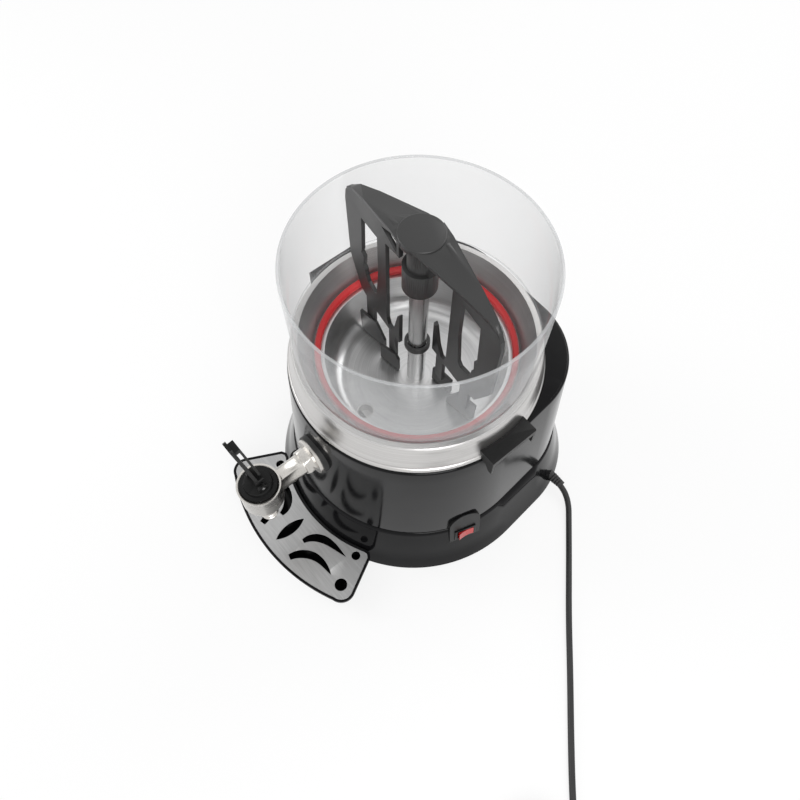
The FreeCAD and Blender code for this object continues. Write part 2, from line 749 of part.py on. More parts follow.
def shaft_flat(gap):
    """Block that leaves a flat on the shaft, or in the hub when given a gap."""
    low = SHAFT_TOP_Z - SHAFT_FLAT_H + gap * 10.0
    flat = block(SHAFT_R - SHAFT_FLAT + gap, SHAFT_R + 5.0, -10.0, 10.0, low, SHAFT_TOP_Z + 5.0)
    flat.rotate(Vector(), UP, WING_ANGLE)
    return flat


def drive_shaft():
    """Steel shaft from the gearbox to the hub, with a flat at its top."""
    return cylinder(SHAFT_R, SHAFT_TOP_Z - SHAFT_LOW_Z, Vector(0, 0, SHAFT_LOW_Z)).cut(shaft_flat(0.0))


def shaft_coupling():
    """Clamp collar that joins the shaft to the gearbox."""
    collar = tube(COUPLING_R, SHAFT_R, COUPLING_LOW_Z, COUPLING_H)
    return collar.cut(block(0.0, 20.0, -0.7, 0.7, COUPLING_LOW_Z, COUPLING_LOW_Z + COUPLING_H))


def shaft_bush():
    """Plain bushes in both ends of the sleeve."""
    low = tube(SLEEVE_BORE_R, SHAFT_R + RUN_GAP, BATH_FLOOR_Z, BUSH_H)
    high = tube(SLEEVE_BORE_R, SHAFT_R + RUN_GAP, SLEEVE_TOP_Z - BUSH_H, BUSH_H)
    return Part.makeCompound([low, high])


def safety_cutout():
    """Round bimetal cut-out under the tank floor, with two blades."""
    top = BATH_FLOOR_Z
    x0 = -SENSOR_X
    body = cylinder(9.0, 8.0, Vector(x0, 20.0, top - 8.0))
    body = body.fuse(block(x0 - 15.0, x0 + 15.0, 16.0, 24.0, top - 1.5, top))
    for x in (x0 - 5.0, x0 + 5.0):
        body = body.fuse(block(x - 2.4, x + 2.4, 19.6, 20.4, top - 16.0, top - 8.0))
    return body


def terminal_block():
    """Terminal block on the bottom plate, with five wire chambers."""
    low = BASE_Z + BASE_T
    body = block(-30.0, 30.0, TERMINAL_Y - 9.0, TERMINAL_Y + 9.0, low, low + 16.0)
    chambers = []
    for index in range(5):
        x = -22.0 + index * 11.0
        chambers.append(block(x - 3.5, x + 3.5, TERMINAL_Y - 10.0, TERMINAL_Y + 10.0, low + 3.0, low + 9.0))
        chambers.append(cylinder(2.2, 10.0, Vector(x, TERMINAL_Y, low + 8.5)))
    return body.cut(Part.makeCompound(chambers))


parts["water_bath_tank"] = water_bath_tank()
parts["heating_element"] = heating_element()
parts["heater_terminals"] = heater_terminals()
parts["motor_bracket"] = motor_bracket()
parts["bracket_standoffs"] = bracket_standoffs()
parts["gearbox"] = gearbox()
parts["gear_motor"] = gear_motor()
parts["drive_shaft"] = drive_shaft()
parts["shaft_coupling"] = shaft_coupling()
parts["shaft_bush"] = shaft_bush()
parts["thermostat_bulb"] = cylinder(SENSOR_R, 40.0, Vector(SENSOR_X, 0, BATH_FLOOR_Z - 20.0))
parts["safety_cutout"] = safety_cutout()
parts["terminal_block"] = terminal_block()


# Bowl

def bowl_wall():
    """Clear wall with a rounded rim, a foot lip and an inner cone over the steel."""
    return revolve([
        (LIP_R - 1.0, WALL_FOOT_Z),
        (LIP_R, WALL_FOOT_Z + 1.0),
        (LIP_R, LIP_TOP_Z - 1.0),
        (LIP_R - 1.0, LIP_TOP_Z),
        (BOWL_FOOT_R + 0.2, LIP_TOP_Z + 0.8),
        (BOWL_RIM_R, RIM_Z - 1.2),
        (BOWL_RIM_R - 1.0, RIM_Z),
        (BOWL_RIM_R - BOWL_T + 1.0, RIM_Z),
        (BOWL_RIM_R - BOWL_T, RIM_Z - 1.2),
        (BOWL_FOOT_R - BOWL_T, LIP_TOP_Z + 2.0),
        (BOWL_FOOT_R - BOWL_T - 1.5, LIP_TOP_Z - 1.0),
        (CONE_LOW_R - 3.0, CONE_LOW_Z + 0.8),
        (CONE_LOW_R - 2.4, CONE_LOW_Z),
        (CONE_LOW_R, CONE_LOW_Z),
        (CONE_TOP_R - 1.0, WALL_FOOT_Z),
    ])


RING_PATH = [
    (BEAD_R - 4.5, DECK_Z),
    (BEAD_R - 1.2, DECK_Z),
    (BEAD_R, DECK_Z + 2.0),
    (BEAD_R, DECK_Z + 5.4),
    (BEAD_R - 1.2, DECK_Z + 6.8),
    (GROOVE_R, DECK_Z + 7.6),
    (BEAD_TOP_R, DECK_Z + 8.8),
    (BEAD_TOP_R, DECK_Z + 10.2),
    (GROOVE_R + 0.4, DECK_Z + 11.6),
    (SHOULDER_R + 1.0, SHOULDER_Z - 4.0),
    (SHOULDER_R, SHOULDER_Z - 1.4),
    (SHOULDER_R - 1.4, SHOULDER_Z),
]


def bowl_ring():
    """Stepped steel ring: two beads with a groove, a slope, a shoulder and an inner cone."""
    seat_z = PAN_FLANGE_Z - PAN_T - 0.2
    inner = [
        (CONE_TOP_R - 0.4, SHOULDER_Z),
        (CONE_LOW_R + 1.6, CONE_LOW_Z),
        (CONE_LOW_R + 0.6, seat_z),
        (CONE_LOW_R - 6.0, seat_z),
    ]
    return revolve(sheet(RING_PATH + inner, RING_T))


def pan_bend(corner, floor):
    """Quarter bend from the pan's floor to its wall, in six steps."""
    steps = 6
    bend = []
    for index in range(steps + 1):
        turn = math.pi / 2.0 * index / steps
        r = PAN_R - PAN_CORNER_R + corner * math.sin(turn)
        bend.append((r, floor + corner - corner * math.cos(turn)))
    return bend


def bowl_pan():
    """Steel pan with rounded corners, a flange at its top and the outlet hole."""
    low = PAN_FLOOR_Z - PAN_T
    profile = [(TUBE_BORE_R, low)] + pan_bend(PAN_CORNER_R, low)
    profile += [(PAN_R, PAN_FLANGE_Z - PAN_T), (PAN_FLANGE_R, PAN_FLANGE_Z - PAN_T), (PAN_FLANGE_R, PAN_FLANGE_Z)]
    profile += [(PAN_R - PAN_T, PAN_FLANGE_Z)]
    profile += pan_bend(PAN_CORNER_R - PAN_T, PAN_FLOOR_Z)[::-1]
    profile += [(TUBE_BORE_R, PAN_FLOOR_Z)]
    hole = cylinder(OUTLET_BORE_R + 1.5, 20.0, Vector(0, OUTLET_Y, PAN_FLOOR_Z - 10.0))
    return revolve(profile).cut(hole)


def bowl_gasket():
    """Red silicone ring with a bevelled inner edge, on the pan's flange."""
    low = PAN_FLANGE_Z
    high = CONE_LOW_Z
    return revolve([
        (GASKET_INNER_R + 1.2, low),
        (GASKET_R, low),
        (GASKET_R, high),
        (GASKET_R - 1.8, high),
        (GASKET_INNER_R + 1.4, high - 0.6),
        (GASKET_INNER_R, high - 2.2),
        (GASKET_INNER_R, low + 1.2),
    ])


def bowl_handle():
    """Right-hand bowl handle: top plate, two end walls and a turned-down outer lip."""
    low = HANDLE_LOW_Z
    top = HANDLE_TOP_Z
    side = [
        (110.0, top),
        (HANDLE_X - 1.5, top),
        (HANDLE_X, top - 1.5),
        (HANDLE_X, low),
        (HANDLE_X - 4.0, low),
        (HANDLE_X - 9.5, low + 9.0),
        (110.0, low + 11.0),
    ]
    body = side_plate(side, -HANDLE_HALF_W, HANDLE_HALF_W)
    inner = HANDLE_HALF_W - HANDLE_END_T
    body = body.cut(block(100.0, HANDLE_X + 5.0, -inner, inner, low - 5.0, top - HANDLE_T))
    body = body.fuse(block(HANDLE_X - 2.6, HANDLE_X, -inner, inner, top - 9.0, top - HANDLE_T))
    body = body.fuse(block(118.0, HANDLE_BACK_X, -inner, inner, top - 11.0, top - HANDLE_T))
    gap = 0.05
    keep = [(0.0, DECK_Z - 30.0), (BEAD_R + gap, DECK_Z - 30.0)]
    keep += [(r + gap, z) for r, z in RING_PATH[2:]]
    keep += [(0.0, SHOULDER_Z)]
    return body.cut(revolve(keep))


def handle_screws():
    """Screws through the back of the right-hand handle into the steel ring."""
    screws = []
    for y in (-HANDLE_SCREW_Y, HANDLE_SCREW_Y):
        x = math.sqrt(GROOVE_R ** 2 - y * y) - 3.0
        z = HANDLE_TOP_Z - 7.0
        shank = cylinder(HANDLE_SCREW_R, HANDLE_BACK_X - x, Vector(x, y, z), RIGHT)
        screws.append(shank.fuse(cylinder(HANDLE_SCREW_R + 1.6, 1.8, Vector(HANDLE_BACK_X, y, z), RIGHT)))
    return screws


def outlet_pipe():
    """Outlet elbow under the pan and its straight pipe through the wall."""
    top = PAN_FLOOR_Z - PAN_T
    low = TAP_Z - SOCKET_R + 1.0
    socket = cylinder(SOCKET_R, top - low, Vector(0, OUTLET_Y, low))
    reach = OUTLET_Y - NUT_Y + THREAD_REACH
    pipe = cylinder(OUTLET_R, reach, Vector(0, OUTLET_Y, TAP_Z), FRONT)
    bore = cylinder(OUTLET_BORE_R, reach + 1.0, Vector(0, OUTLET_Y, TAP_Z), FRONT)
    drop = cylinder(OUTLET_BORE_R, top - TAP_Z + 1.0, Vector(0, OUTLET_Y, TAP_Z))
    return socket.fuse(pipe).cut(bore).cut(drop)


def side_plate(points, near, far):
    """Plate with an outline in (x, z), between two sideways offsets."""
    return face_of([Vector(x, near, z) for x, z in points]).extrude(Vector(0, far - near, 0))


screws = handle_screws()
parts["handle_screws"] = Part.makeCompound([side for screw in screws for side in both_sides(screw)])
parts["bowl_wall"] = bowl_wall()
parts["bowl_ring"] = bowl_ring().cut(parts["handle_screws"])
parts["bowl_pan"] = bowl_pan()
parts["bowl_gasket"] = bowl_gasket()
parts["centre_tube"] = tube(TUBE_R, TUBE_BORE_R, PAN_FLOOR_Z, TUBE_TOP_Z - PAN_FLOOR_Z)
parts["handle_right"] = bowl_handle().cut(Part.makeCompound(screws))
parts["handle_left"] = mirrored(parts["handle_right"])
parts["outlet_pipe"] = outlet_pipe()


# Agitator, drawn with its wings along x and turned into place

WING = (
    (12.0, 399.0), (20.0, 398.0), (64.0, 386.5), (86.0, 379.0), (95.0, 373.0), (101.0, 364.0),
    (103.0, 352.0), (101.6, 300.0), (100.6, 278.0), (83.0, 242.0), (73.0, 238.0), (73.0, 206.0),
    (60.0, 206.0), (60.0, 235.0), (30.0, 234.0), (30.0, 198.0), (19.0, 198.0), (19.0, 234.0),
    (11.0, 234.0), (11.0, 279.0), (14.0, 276.0), (20.0, 250.0), (26.0, 239.0), (31.0, 240.0),
    (34.0, 248.0), (34.0, 360.0), (16.0, 364.0), (12.0, 364.0),
)
WINDOW = (
    (48.0, 353.0), (75.0, 352.0), (77.4, 306.0), (78.6, 302.0), (74.0, 299.0), (75.0, 287.0),
    (76.5, 285.0), (72.5, 281.0), (72.0, 274.0), (68.0, 266.0), (56.0, 263.0), (52.0, 267.0),
    (48.0, 305.0),
)
NOTCH = ((16.0, 366.0), (16.0, 386.0), (40.0, 376.0))
TOP_LINE = [(-25.0, 400.0), (15.0, 399.0), (64.0, 387.0), (86.0, 379.5), (99.0, 369.0)]
PAD_FLOOR = PAN_FLOOR_Z + PAD_GAP
OUTER_PAD = (
    (44.0, PAD_FLOOR), (72.0, PAD_FLOOR), (78.0, PAD_FLOOR + 3.0), (79.0, 212.0), (56.0, 212.0), (44.0, 190.0),
)
INNER_PAD = ((13.0, PAD_FLOOR), (38.0, PAD_FLOOR), (38.0, 200.0), (17.0, 204.0), (13.0, 198.0))
OUTER_LEG_X = 66.5
INNER_LEG_X = 24.5


def wing():
    """One wing: a blade with a large window, a top flange, and legs for the pads."""
    plate = side_plate(WING, BLADE_FACE - BLADE_T, BLADE_FACE)
    for opening in (WINDOW, NOTCH):
        plate = plate.cut(side_plate(opening, 0.0, 30.0))
    below = [(x, z - FLANGE_T) for x, z in TOP_LINE]
    top = side_plate(TOP_LINE + below[::-1], -40.0, 40.0)
    plan = face_of([
        Vector(0, -FLANGE_HALF, 300.0),
        Vector(97.0, BLADE_FACE - BLADE_T, 300.0),
        Vector(98.5, BLADE_FACE, 300.0),
        Vector(0, FLANGE_HALF + 1.0, 300.0),
    ]).extrude(Vector(0, 0, 150.0))
    root = NECK_R - 1.5
    gusset = side_plate(((root, 350.0), (root, 395.0), (36.0, 391.0)), -2.0, 2.0)
    return plate.fuse(top.common(plan)).fuse(gusset)


def agitator_frame():
    """Both wings on their hub, with the hub's collar around the centre tube."""
    right = wing()
    left = right.copy()
    left.rotate(Vector(), UP, 180.0)
    disc = cylinder(HUB_R, HUB_DISC_T, Vector(0, 0, HUB_TOP_Z - HUB_DISC_T))
    disc = disc.makeFillet(1.5, [e for e in disc.Edges if e.BoundBox.ZMin > HUB_TOP_Z - 0.01])
    neck = cylinder(NECK_R, HUB_TOP_Z - HUB_DISC_T - NECK_LOW_Z, Vector(0, 0, NECK_LOW_Z))
    collar = cylinder(COLLAR_R, NECK_LOW_Z - COLLAR_LOW_Z, Vector(0, 0, COLLAR_LOW_Z))
    frame = disc.fuse([neck, collar, right, left])
    low = COLLAR_LOW_Z - 20.0
    frame = frame.cut(cylinder(COLLAR_BORE_R, TUBE_TOP_Z + 3.0 - low, Vector(0, 0, low)))
    frame.rotate(Vector(), UP, WING_ANGLE)
    bore = cylinder(SHAFT_R + RUN_GAP, SHAFT_TOP_Z + 1.0 - COLLAR_LOW_Z, Vector(0, 0, COLLAR_LOW_Z))
    return frame.cut(bore.cut(shaft_flat(RUN_GAP)))


def wiper_pads():
    """Slanted scraper pads on the wing legs, two on each side."""
    pads = []
    for points, leg_x in ((OUTER_PAD, OUTER_LEG_X), (INNER_PAD, INNER_LEG_X)):
        pad = side_plate(points, BLADE_FACE, BLADE_FACE + PAD_T)
        pad.rotate(Vector(leg_x, BLADE_FACE, 0), UP, PAD_TURN)
        for turn in (0.0, 180.0):
            copy = pad.copy()
            copy.rotate(Vector(), UP, turn + WING_ANGLE)
            pads.append(copy.cut(parts["agitator_frame"]))
    return Part.makeCompound(pads)


def agitator_clip():
    """Open ring that steadies the lower links on the centre tube."""
    clip = tube(CLIP_R, CLIP_BORE_R, CLIP_Z, CLIP_H)
    clip = clip.cut(block(0.0, 30.0, -CLIP_SLOT / 2.0, CLIP_SLOT / 2.0, CLIP_Z, CLIP_Z + CLIP_H))
    clip.rotate(Vector(), UP, WING_ANGLE)
    return clip.cut(parts["agitator_frame"])


parts["agitator_frame"] = agitator_frame()
parts["wiper_pads"] = wiper_pads()
parts["agitator_clip"] = agitator_clip()


# Tap

def tap_seal():
    """Rubber washer between the wall and the tap, shaped to the wall."""
    washer = cylinder(SEAL_R, 12.0, Vector(0, SEAL_Y + 12.0, TAP_Z), FRONT)
    washer = washer.cut(cylinder(OUTLET_R, 40.0, Vector(0, SEAL_Y + 20.0, TAP_Z), FRONT))
    return washer.cut(housing_solid)


def tap_washer():
    """Flat steel washer under the nut."""
    washer = cylinder(WASHER_R, SEAL_Y - WASHER_Y, Vector(0, SEAL_Y, TAP_Z), FRONT)
    washer = washer.makeChamfer(0.8, [e for e in washer.Edges if e.BoundBox.YMax < WASHER_Y + 0.01])
    return washer.cut(cylinder(OUTLET_R, 40.0, Vector(0, SEAL_Y + 20.0, TAP_Z), FRONT))


def tap_hex_nut():
    """Hexagon nut with turned corners."""
    corner = NUT_FLATS / math.sqrt(3.0)
    points = []
    for index in range(6):
        turn = math.radians(60.0 * index)
        points.append(Vector(corner * math.cos(turn), WASHER_Y, TAP_Z + corner * math.sin(turn)))
    height = WASHER_Y - NUT_Y
    nut = face_of(points).extrude(FRONT * height)
    trim = Part.makeCone(corner + 4.2, corner - 1.0, height, Vector(0, WASHER_Y, TAP_Z), FRONT)
    return nut.common(trim).cut(cylinder(OUTLET_R, 40.0, Vector(0, SEAL_Y + 20.0, TAP_Z), FRONT))


def tap_body():
    """Tap body: pipe with a flat, open cup, inner chamber and the seat of the valve."""
    skirt = 8.0
    body = Part.makeCone(NOZZLE_R + 5.0, CUP_R, skirt, Vector(0, CUP_Y, CUP_LOW_Z))
    body = body.fuse(cylinder(CUP_R, CUP_TOP_Z - CUP_LOW_Z - skirt, Vector(0, CUP_Y, CUP_LOW_Z + skirt)))
    body = body.fuse(cylinder(CUP_R + 0.6, 3.0, Vector(0, CUP_Y, CUP_TOP_Z - 3.0)))
    body = body.fuse(cylinder(PIPE_R, NUT_Y - CUP_Y, Vector(0, NUT_Y, TAP_Z), FRONT))
    rear = CUP_Y + CUP_R + 1.5
    holes = [
        block(-20.0, 20.0, rear, NUT_Y - THREAD_REACH, TAP_Z + PIPE_R - PIPE_FLAT, TAP_Z + 30.0),
        cylinder(OUTLET_R, THREAD_REACH, Vector(0, NUT_Y, TAP_Z), FRONT),
        cylinder(OUTLET_BORE_R, NUT_Y - CUP_Y, Vector(0, NUT_Y, TAP_Z), FRONT),
        cylinder(CHAMBER_R, CUP_LEDGE_Z - SEAT_Z, Vector(0, CUP_Y, SEAT_Z)),
        cylinder(CUP_BORE_R, 30.0, Vector(0, CUP_Y, CUP_LEDGE_Z)),
        cylinder(NOZZLE_BORE_R, 30.0, Vector(0, CUP_Y, CUP_LOW_Z - 10.0)),
    ]
    for hole in holes:
        body = body.cut(hole)
    return body


def spout_nozzle():
    """Ribbed spout below the cup."""
    length = CUP_LOW_Z - NOZZLE_LOW_Z
    nozzle = Part.makeCone(NOZZLE_R - 0.8, NOZZLE_R, length, Vector(0, CUP_Y, NOZZLE_LOW_Z))
    pitch = length / (NOZZLE_RIBS + 1)
    for index in range(NOZZLE_RIBS):
        z = NOZZLE_LOW_Z + pitch * (index + 0.8)
        nozzle = nozzle.fuse(cylinder(NOZZLE_R + 0.7, 2.0, Vector(0, CUP_Y, z)))
    return nozzle.cut(cylinder(NOZZLE_BORE_R, length + 2.0, Vector(0, CUP_Y, NOZZLE_LOW_Z - 1.0)))


def tap_bonnet():
    """Stepped black bonnet that closes the cup, with two ears for the lever's pin."""
    bonnet = cylinder(BONNET_R, BONNET_STEP_Z - CUP_LEDGE_Z, Vector(0, CUP_Y, CUP_LEDGE_Z))
    rise = BONNET_TOP_Z - BONNET_STEP_Z
    bonnet = bonnet.fuse(Part.makeCone(BONNET_STEP_R + 1.0, BONNET_STEP_R, rise, Vector(0, CUP_Y, BONNET_STEP_Z)))
    for side in (-1, 1):
        x0 = side * EAR_X - EAR_T / 2.0
        ear = block(x0, x0 + EAR_T, CUP_Y - 5.0, CUP_Y + 5.0, BONNET_TOP_Z - 1.0, PIVOT_Z)
        bonnet = bonnet.fuse([ear, cylinder(5.0, EAR_T, Vector(x0, CUP_Y, PIVOT_Z), RIGHT)])
    bonnet = bonnet.cut(cylinder(PIVOT_R, 60.0, Vector(-30.0, CUP_Y, PIVOT_Z), RIGHT))
    well = cylinder(SPRING_R + 1.4, 8.0, Vector(0, CUP_Y, CUP_LEDGE_Z))
    return bonnet.cut(well).cut(cylinder(STEM_R + RUN_GAP, 60.0, Vector(0, CUP_Y, CUP_LEDGE_Z - 5.0)))


def tap_stem():
    """Valve stem with a spring collar and a slot for the lever's pin."""
    low = SEAT_Z + 3.0
    stem = cylinder(STEM_R, STEM_TOP_Z - low, Vector(0, CUP_Y, low))
    stem = stem.fuse(cylinder(SEAT_PLUG_R - 1.0, 1.5, Vector(0, CUP_Y, SEAT_Z + 6.1)))
    half = PIVOT_R + 0.4
    return stem.cut(block(-5.0, 5.0, CUP_Y - half, CUP_Y + half, PIVOT_Z - STEM_LIFT - 2.6, PIVOT_Z + 2.4))


def tap_seat_cup():
    """Rubber plug of the valve, on the stem's foot."""
    plug = Part.makeCone(SEAT_PLUG_R - 2.0, SEAT_PLUG_R, 6.0, Vector(0, CUP_Y, SEAT_Z + 0.05))
    return plug.cut(cylinder(STEM_R, 10.0, Vector(0, CUP_Y, SEAT_Z + 3.0)))


def tap_spring():
    """Compression spring between the stem's collar and the bonnet."""
    low = SEAT_Z + 7.6 + SPRING_WIRE_R + 0.1
    high = CUP_LEDGE_Z + 8.0 - SPRING_WIRE_R - 0.1
    steps = int(SPRING_TURNS * SPRING_STEPS)
    path = []
    for index in range(steps + 1):
        path.append(polar(SPRING_R, 360.0 * index / SPRING_STEPS, (high - low) * index / steps))
    section = ring_of(5, SPRING_WIRE_R, path[0], Vector(1, 0, 0), UP)
    spring = Part.Wire(Part.makePolygon(path)).makePipeShell([section], True, True, 1)
    spring.translate(Vector(0, CUP_Y, low))
    return spring


def tap_lever():
    """Fork lever: a flat front bar, a thinner rear bar and two cheeks on the pin."""
    half = LEVER_W / 2.0
    top = LEVER_LENGTH
    low = 10.0
    front_y = -LEVER_T / 2.0 - 1.0
    rear_y = front_y + LEVER_T + LEVER_REAR_GAP
    rear_end = rear_y + LEVER_REAR_T
    outline_xz = [
        (-half - 1.3, low), (half + 1.3, low), (half, top - 2.0),
        (half - 2.0, top), (2.0 - half, top), (-half, top - 2.0),
    ]
    lever = side_plate(outline_xz, front_y, front_y + LEVER_T)
    lever = lever.fuse(block(1.0 - half, half - 1.0, rear_y, rear_end, low, top - 8.0))
    lever = lever.fuse(block(1.0 - half, half - 1.0, front_y + 1.0, rear_end, top - 12.0, top - 6.0))
    lever = lever.fuse(block(-CHEEK_X - 1.6, CHEEK_X + 1.6, front_y, rear_end, low, low + 4.0))
    for side in (-1, 1):
        x0 = side * CHEEK_X - CHEEK_T / 2.0
        lever = lever.fuse(block(x0, x0 + CHEEK_T, -3.6, 3.6, 0.0, low + 2.0))
        lever = lever.fuse(cylinder(3.6, CHEEK_T, Vector(x0, 0, 0), RIGHT))
    lever = lever.cut(cylinder(PIVOT_R - PIN_GAP, 40.0, Vector(-20.0, 0, 0), RIGHT))
    lever.rotate(Vector(), RIGHT, LEVER_LEAN)
    lever.translate(Vector(0, CUP_Y, PIVOT_Z))
    return lever


def lever_pin():
    """Pin through the ears, the lever's cheeks and the stem."""
    half = EAR_X + EAR_T / 2.0 + 0.5
    return cylinder(PIVOT_R - PIN_GAP, 2.0 * half, Vector(-half, CUP_Y, PIVOT_Z), RIGHT)


parts["tap_seal"] = tap_seal()
parts["tap_washer"] = tap_washer()
parts["tap_hex_nut"] = tap_hex_nut()
parts["tap_body"] = tap_body()
parts["spout_nozzle"] = spout_nozzle()
parts["tap_bonnet"] = tap_bonnet()
parts["tap_stem"] = tap_stem()
parts["tap_seat_cup"] = tap_seat_cup()
parts["tap_spring"] = tap_spring()
parts["tap_lever"] = tap_lever()
parts["lever_pin"] = lever_pin()


# Drip tray and grille

def circle_centre(a, b, c):
    """Centre of the circle through three points of one height."""
    ab = b - a
    ac = c - a
    cross = 2.0 * (ab.x * ac.y - ab.y * ac.x)
    x = (ac.y * ab.dot(ab) - ab.y * ac.dot(ac)) / cross
    y = (ab.x * ac.dot(ac) - ac.x * ab.dot(ab)) / cross
    return Vector(a.x + x, a.y + y, a.z)


def tray_inset(distance, z):
    """Outline of the tray, drawn in by a distance: two round edges, flanks and soft corners."""
    inner = (TRAY_INNER_X, -math.sqrt(TRAY_INNER_R ** 2 - TRAY_INNER_X ** 2))
    nose = (TRAY_NOSE_X, -math.sqrt(TRAY_OUTER_R ** 2 - TRAY_NOSE_X ** 2))
    half = [Vector(x, y, z) for x, y in (inner, TRAY_REAR, TRAY_MID, TRAY_FLANK, TRAY_BULGE, nose)]
    back = Vector(0, -TRAY_INNER_R, z)
    front = Vector(0, -TRAY_OUTER_R, z)
    bulge = circle_centre(half[3], half[4], half[5])
    axis = Vector(0, 0, z)

    def toward(point, target):
        direction = target - point
        direction.normalize()
        return direction

    def across(start, end):
        return toward(start, end).cross(UP)

    first = across(half[0], half[1])
    second = across(half[1], half[2])
    third = across(half[2], half[3])
    normals = [
        (-toward(half[0], axis), first),
        (first, second),
        (second, third),
        (third, toward(half[3], bulge)),
        (toward(half[4], bulge), toward(half[4], bulge)),
        (toward(half[5], bulge), toward(half[5], axis)),
    ]
    right = []
    for point, (one, two) in zip(half, normals):
        right.append(point + (one + two) * (distance / (1.0 + one.dot(two))))
    left = [Vector(-point.x, point.y, z) for point in right]
    back = back + FRONT * distance
    front = front - FRONT * distance
    return Part.Wire([
        Part.Arc(left[0], back, right[0]).toShape(),
        Part.LineSegment(right[0], right[1]).toShape(),
        Part.LineSegment(right[1], right[2]).toShape(),
        Part.LineSegment(right[2], right[3]).toShape(),
        Part.Arc(right[3], right[4], right[5]).toShape(),
        Part.Arc(right[5], front, left[5]).toShape(),
        Part.Arc(left[5], left[4], left[3]).toShape(),
        Part.LineSegment(left[3], left[2]).toShape(),
        Part.LineSegment(left[2], left[1]).toShape(),
        Part.LineSegment(left[1], left[0]).toShape(),
    ])


def tapered(distance, z_top, z_low):
    """Solid that narrows from the inset outline to its tapered copy below."""
    top = tray_inset(distance, z_top)
    shrink = Matrix()
    shrink.move(Vector(0, -TRAY_CENTRE_Y, -z_top))
    shrink.scale(Vector(TRAY_TAPER_X, TRAY_TAPER_Y, 1.0))
    shrink.move(Vector(0, TRAY_CENTRE_Y, z_low))
    return Part.makeLoft([top.transformGeometry(shrink), top], True, True)


def prism(distance, z_low, z_high):
    """Upright solid inside the inset outline."""
    return Part.Face(tray_inset(distance, z_low)).extrude(Vector(0, 0, z_high - z_low))


def drip_tray():
    """Open tray with a rim, a ledge for the grille and tapered walls."""
    rim_low = TRAY_TOP_Z - TRAY_RIM_H
    ledge = GRILLE_Z - GRILLE_T - 0.05
    tray = prism(0, rim_low, TRAY_TOP_Z).fuse(tapered(0, rim_low, TRAY_LOW_Z))
    tray = tray.cut(prism(TRAY_EDGE - TRAY_FIT, ledge, TRAY_TOP_Z + 1.0))
    tray = tray.cut(prism(TRAY_EDGE + TRAY_WALL, rim_low - 0.5, ledge + 0.1))
    return tray.cut(tapered(TRAY_EDGE + TRAY_WALL, rim_low - 0.4, TRAY_LOW_Z + TRAY_FLOOR_T))


SLOT_A = (
    ((18.6, -180.2), (20.8, -168.0), (33.5, -156.8), (50.5, -153.8), (66.5, -154.4)),
    ((66.5, -154.4), (53.2, -158.9), (37.2, -165.2), (27.2, -173.6), (23.6, -181.0)),
)
SLOT_B = (
    ((22.8, -202.4), (28.2, -187.8), (40.5, -177.8), (56.2, -175.4), (72.2, -179.7)),
    ((72.2, -179.7), (63.5, -180.9), (51.3, -183.0), (37.0, -192.0), (29.5, -204.2)),
)


def curved_slot(outer, inner):
    """Crescent between an outer and an inner curve, blunt at one end."""
    low = GRILLE_Z - 5.0
    edges = []
    for chain in (outer, inner):
        curve = Part.BSplineCurve()
        curve.interpolate([Vector(x, y, low) for x, y in chain])
        edges.append(curve.toShape())
    end = Part.LineSegment(Vector(inner[-1][0], inner[-1][1], low), Vector(outer[0][0], outer[0][1], low))
    edges.append(end.toShape())
    return Part.Face(Part.Wire(edges)).extrude(Vector(0, 0, 10.0))


def drip_grille():
    """Steel plate with curved slots and round holes, the same on both sides."""
    plate = prism(TRAY_EDGE, GRILLE_Z - GRILLE_T, GRILLE_Z)
    low = GRILLE_Z - 5.0
    holes = []
    for radius, (x, y) in ((SMALL_HOLE_R, SMALL_HOLE), (BIG_HOLE_R, BIG_HOLE)):
        holes += both_sides(cylinder(radius, 10.0, Vector(x, y, low)))
    for outer, inner in (SLOT_A, SLOT_B):
        holes += both_sides(curved_slot(outer, inner))
    top = Vector(0, LENS_Y[0], low)
    end = Vector(0, LENS_Y[1], low)
    middle = (LENS_Y[0] + LENS_Y[1]) / 2.0
    lens = Part.Wire([
        Part.Arc(top, Vector(LENS_HALF_W, middle, low), end).toShape(),
        Part.Arc(end, Vector(-LENS_HALF_W, middle, low), top).toShape(),
    ])
    holes.append(Part.Face(lens).extrude(Vector(0, 0, 10.0)))
    return plate.cut(Part.makeCompound(holes))


parts["drip_tray"] = drip_tray()
parts["drip_grille"] = drip_grille()

coil = cord_coil()
parts["power_cord"] = lead.cut(coil)
parts["strain_relief"] = strain_relief()
parts["cord_coil"] = coil
plug, pins = mains_plug()
parts["mains_plug"] = plug.cut(coil)
parts["plug_pins"] = pins

rear_y = CORNER_Y + CORNER_R + PLINTH_LEVELS[-1][1]
front_y = CUP_Y - CUP_R - 0.6
move_y = -(rear_y + front_y) / 2.0
print("moved back by", move_y)

os.makedirs("parts", exist_ok=True)
for name, shape in parts.items():
    if not shape.Solids:
        raise ValueError("no solid in " + name)
    shape = shape.copy()
    shape.translate(Vector(0, move_y, 0))
    box = shape.BoundBox
    low = [round(value, 1) for value in (box.XMin, box.YMin, box.ZMin)]
    high = [round(value, 1) for value in (box.XMax, box.YMax, box.ZMax)]
    print(name, "solids", len(shape.Solids), "valid", shape.isValid(), "volume", round(shape.Volume), low, high)
    shape.exportStep("parts/" + name + ".step")
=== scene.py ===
"""Hot chocolate dispenser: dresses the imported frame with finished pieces, a camera and lights."""

import json
import logging
import math
from dataclasses import dataclass
from enum import Enum

import bmesh
import bpy
from mathutils import Matrix, Vector


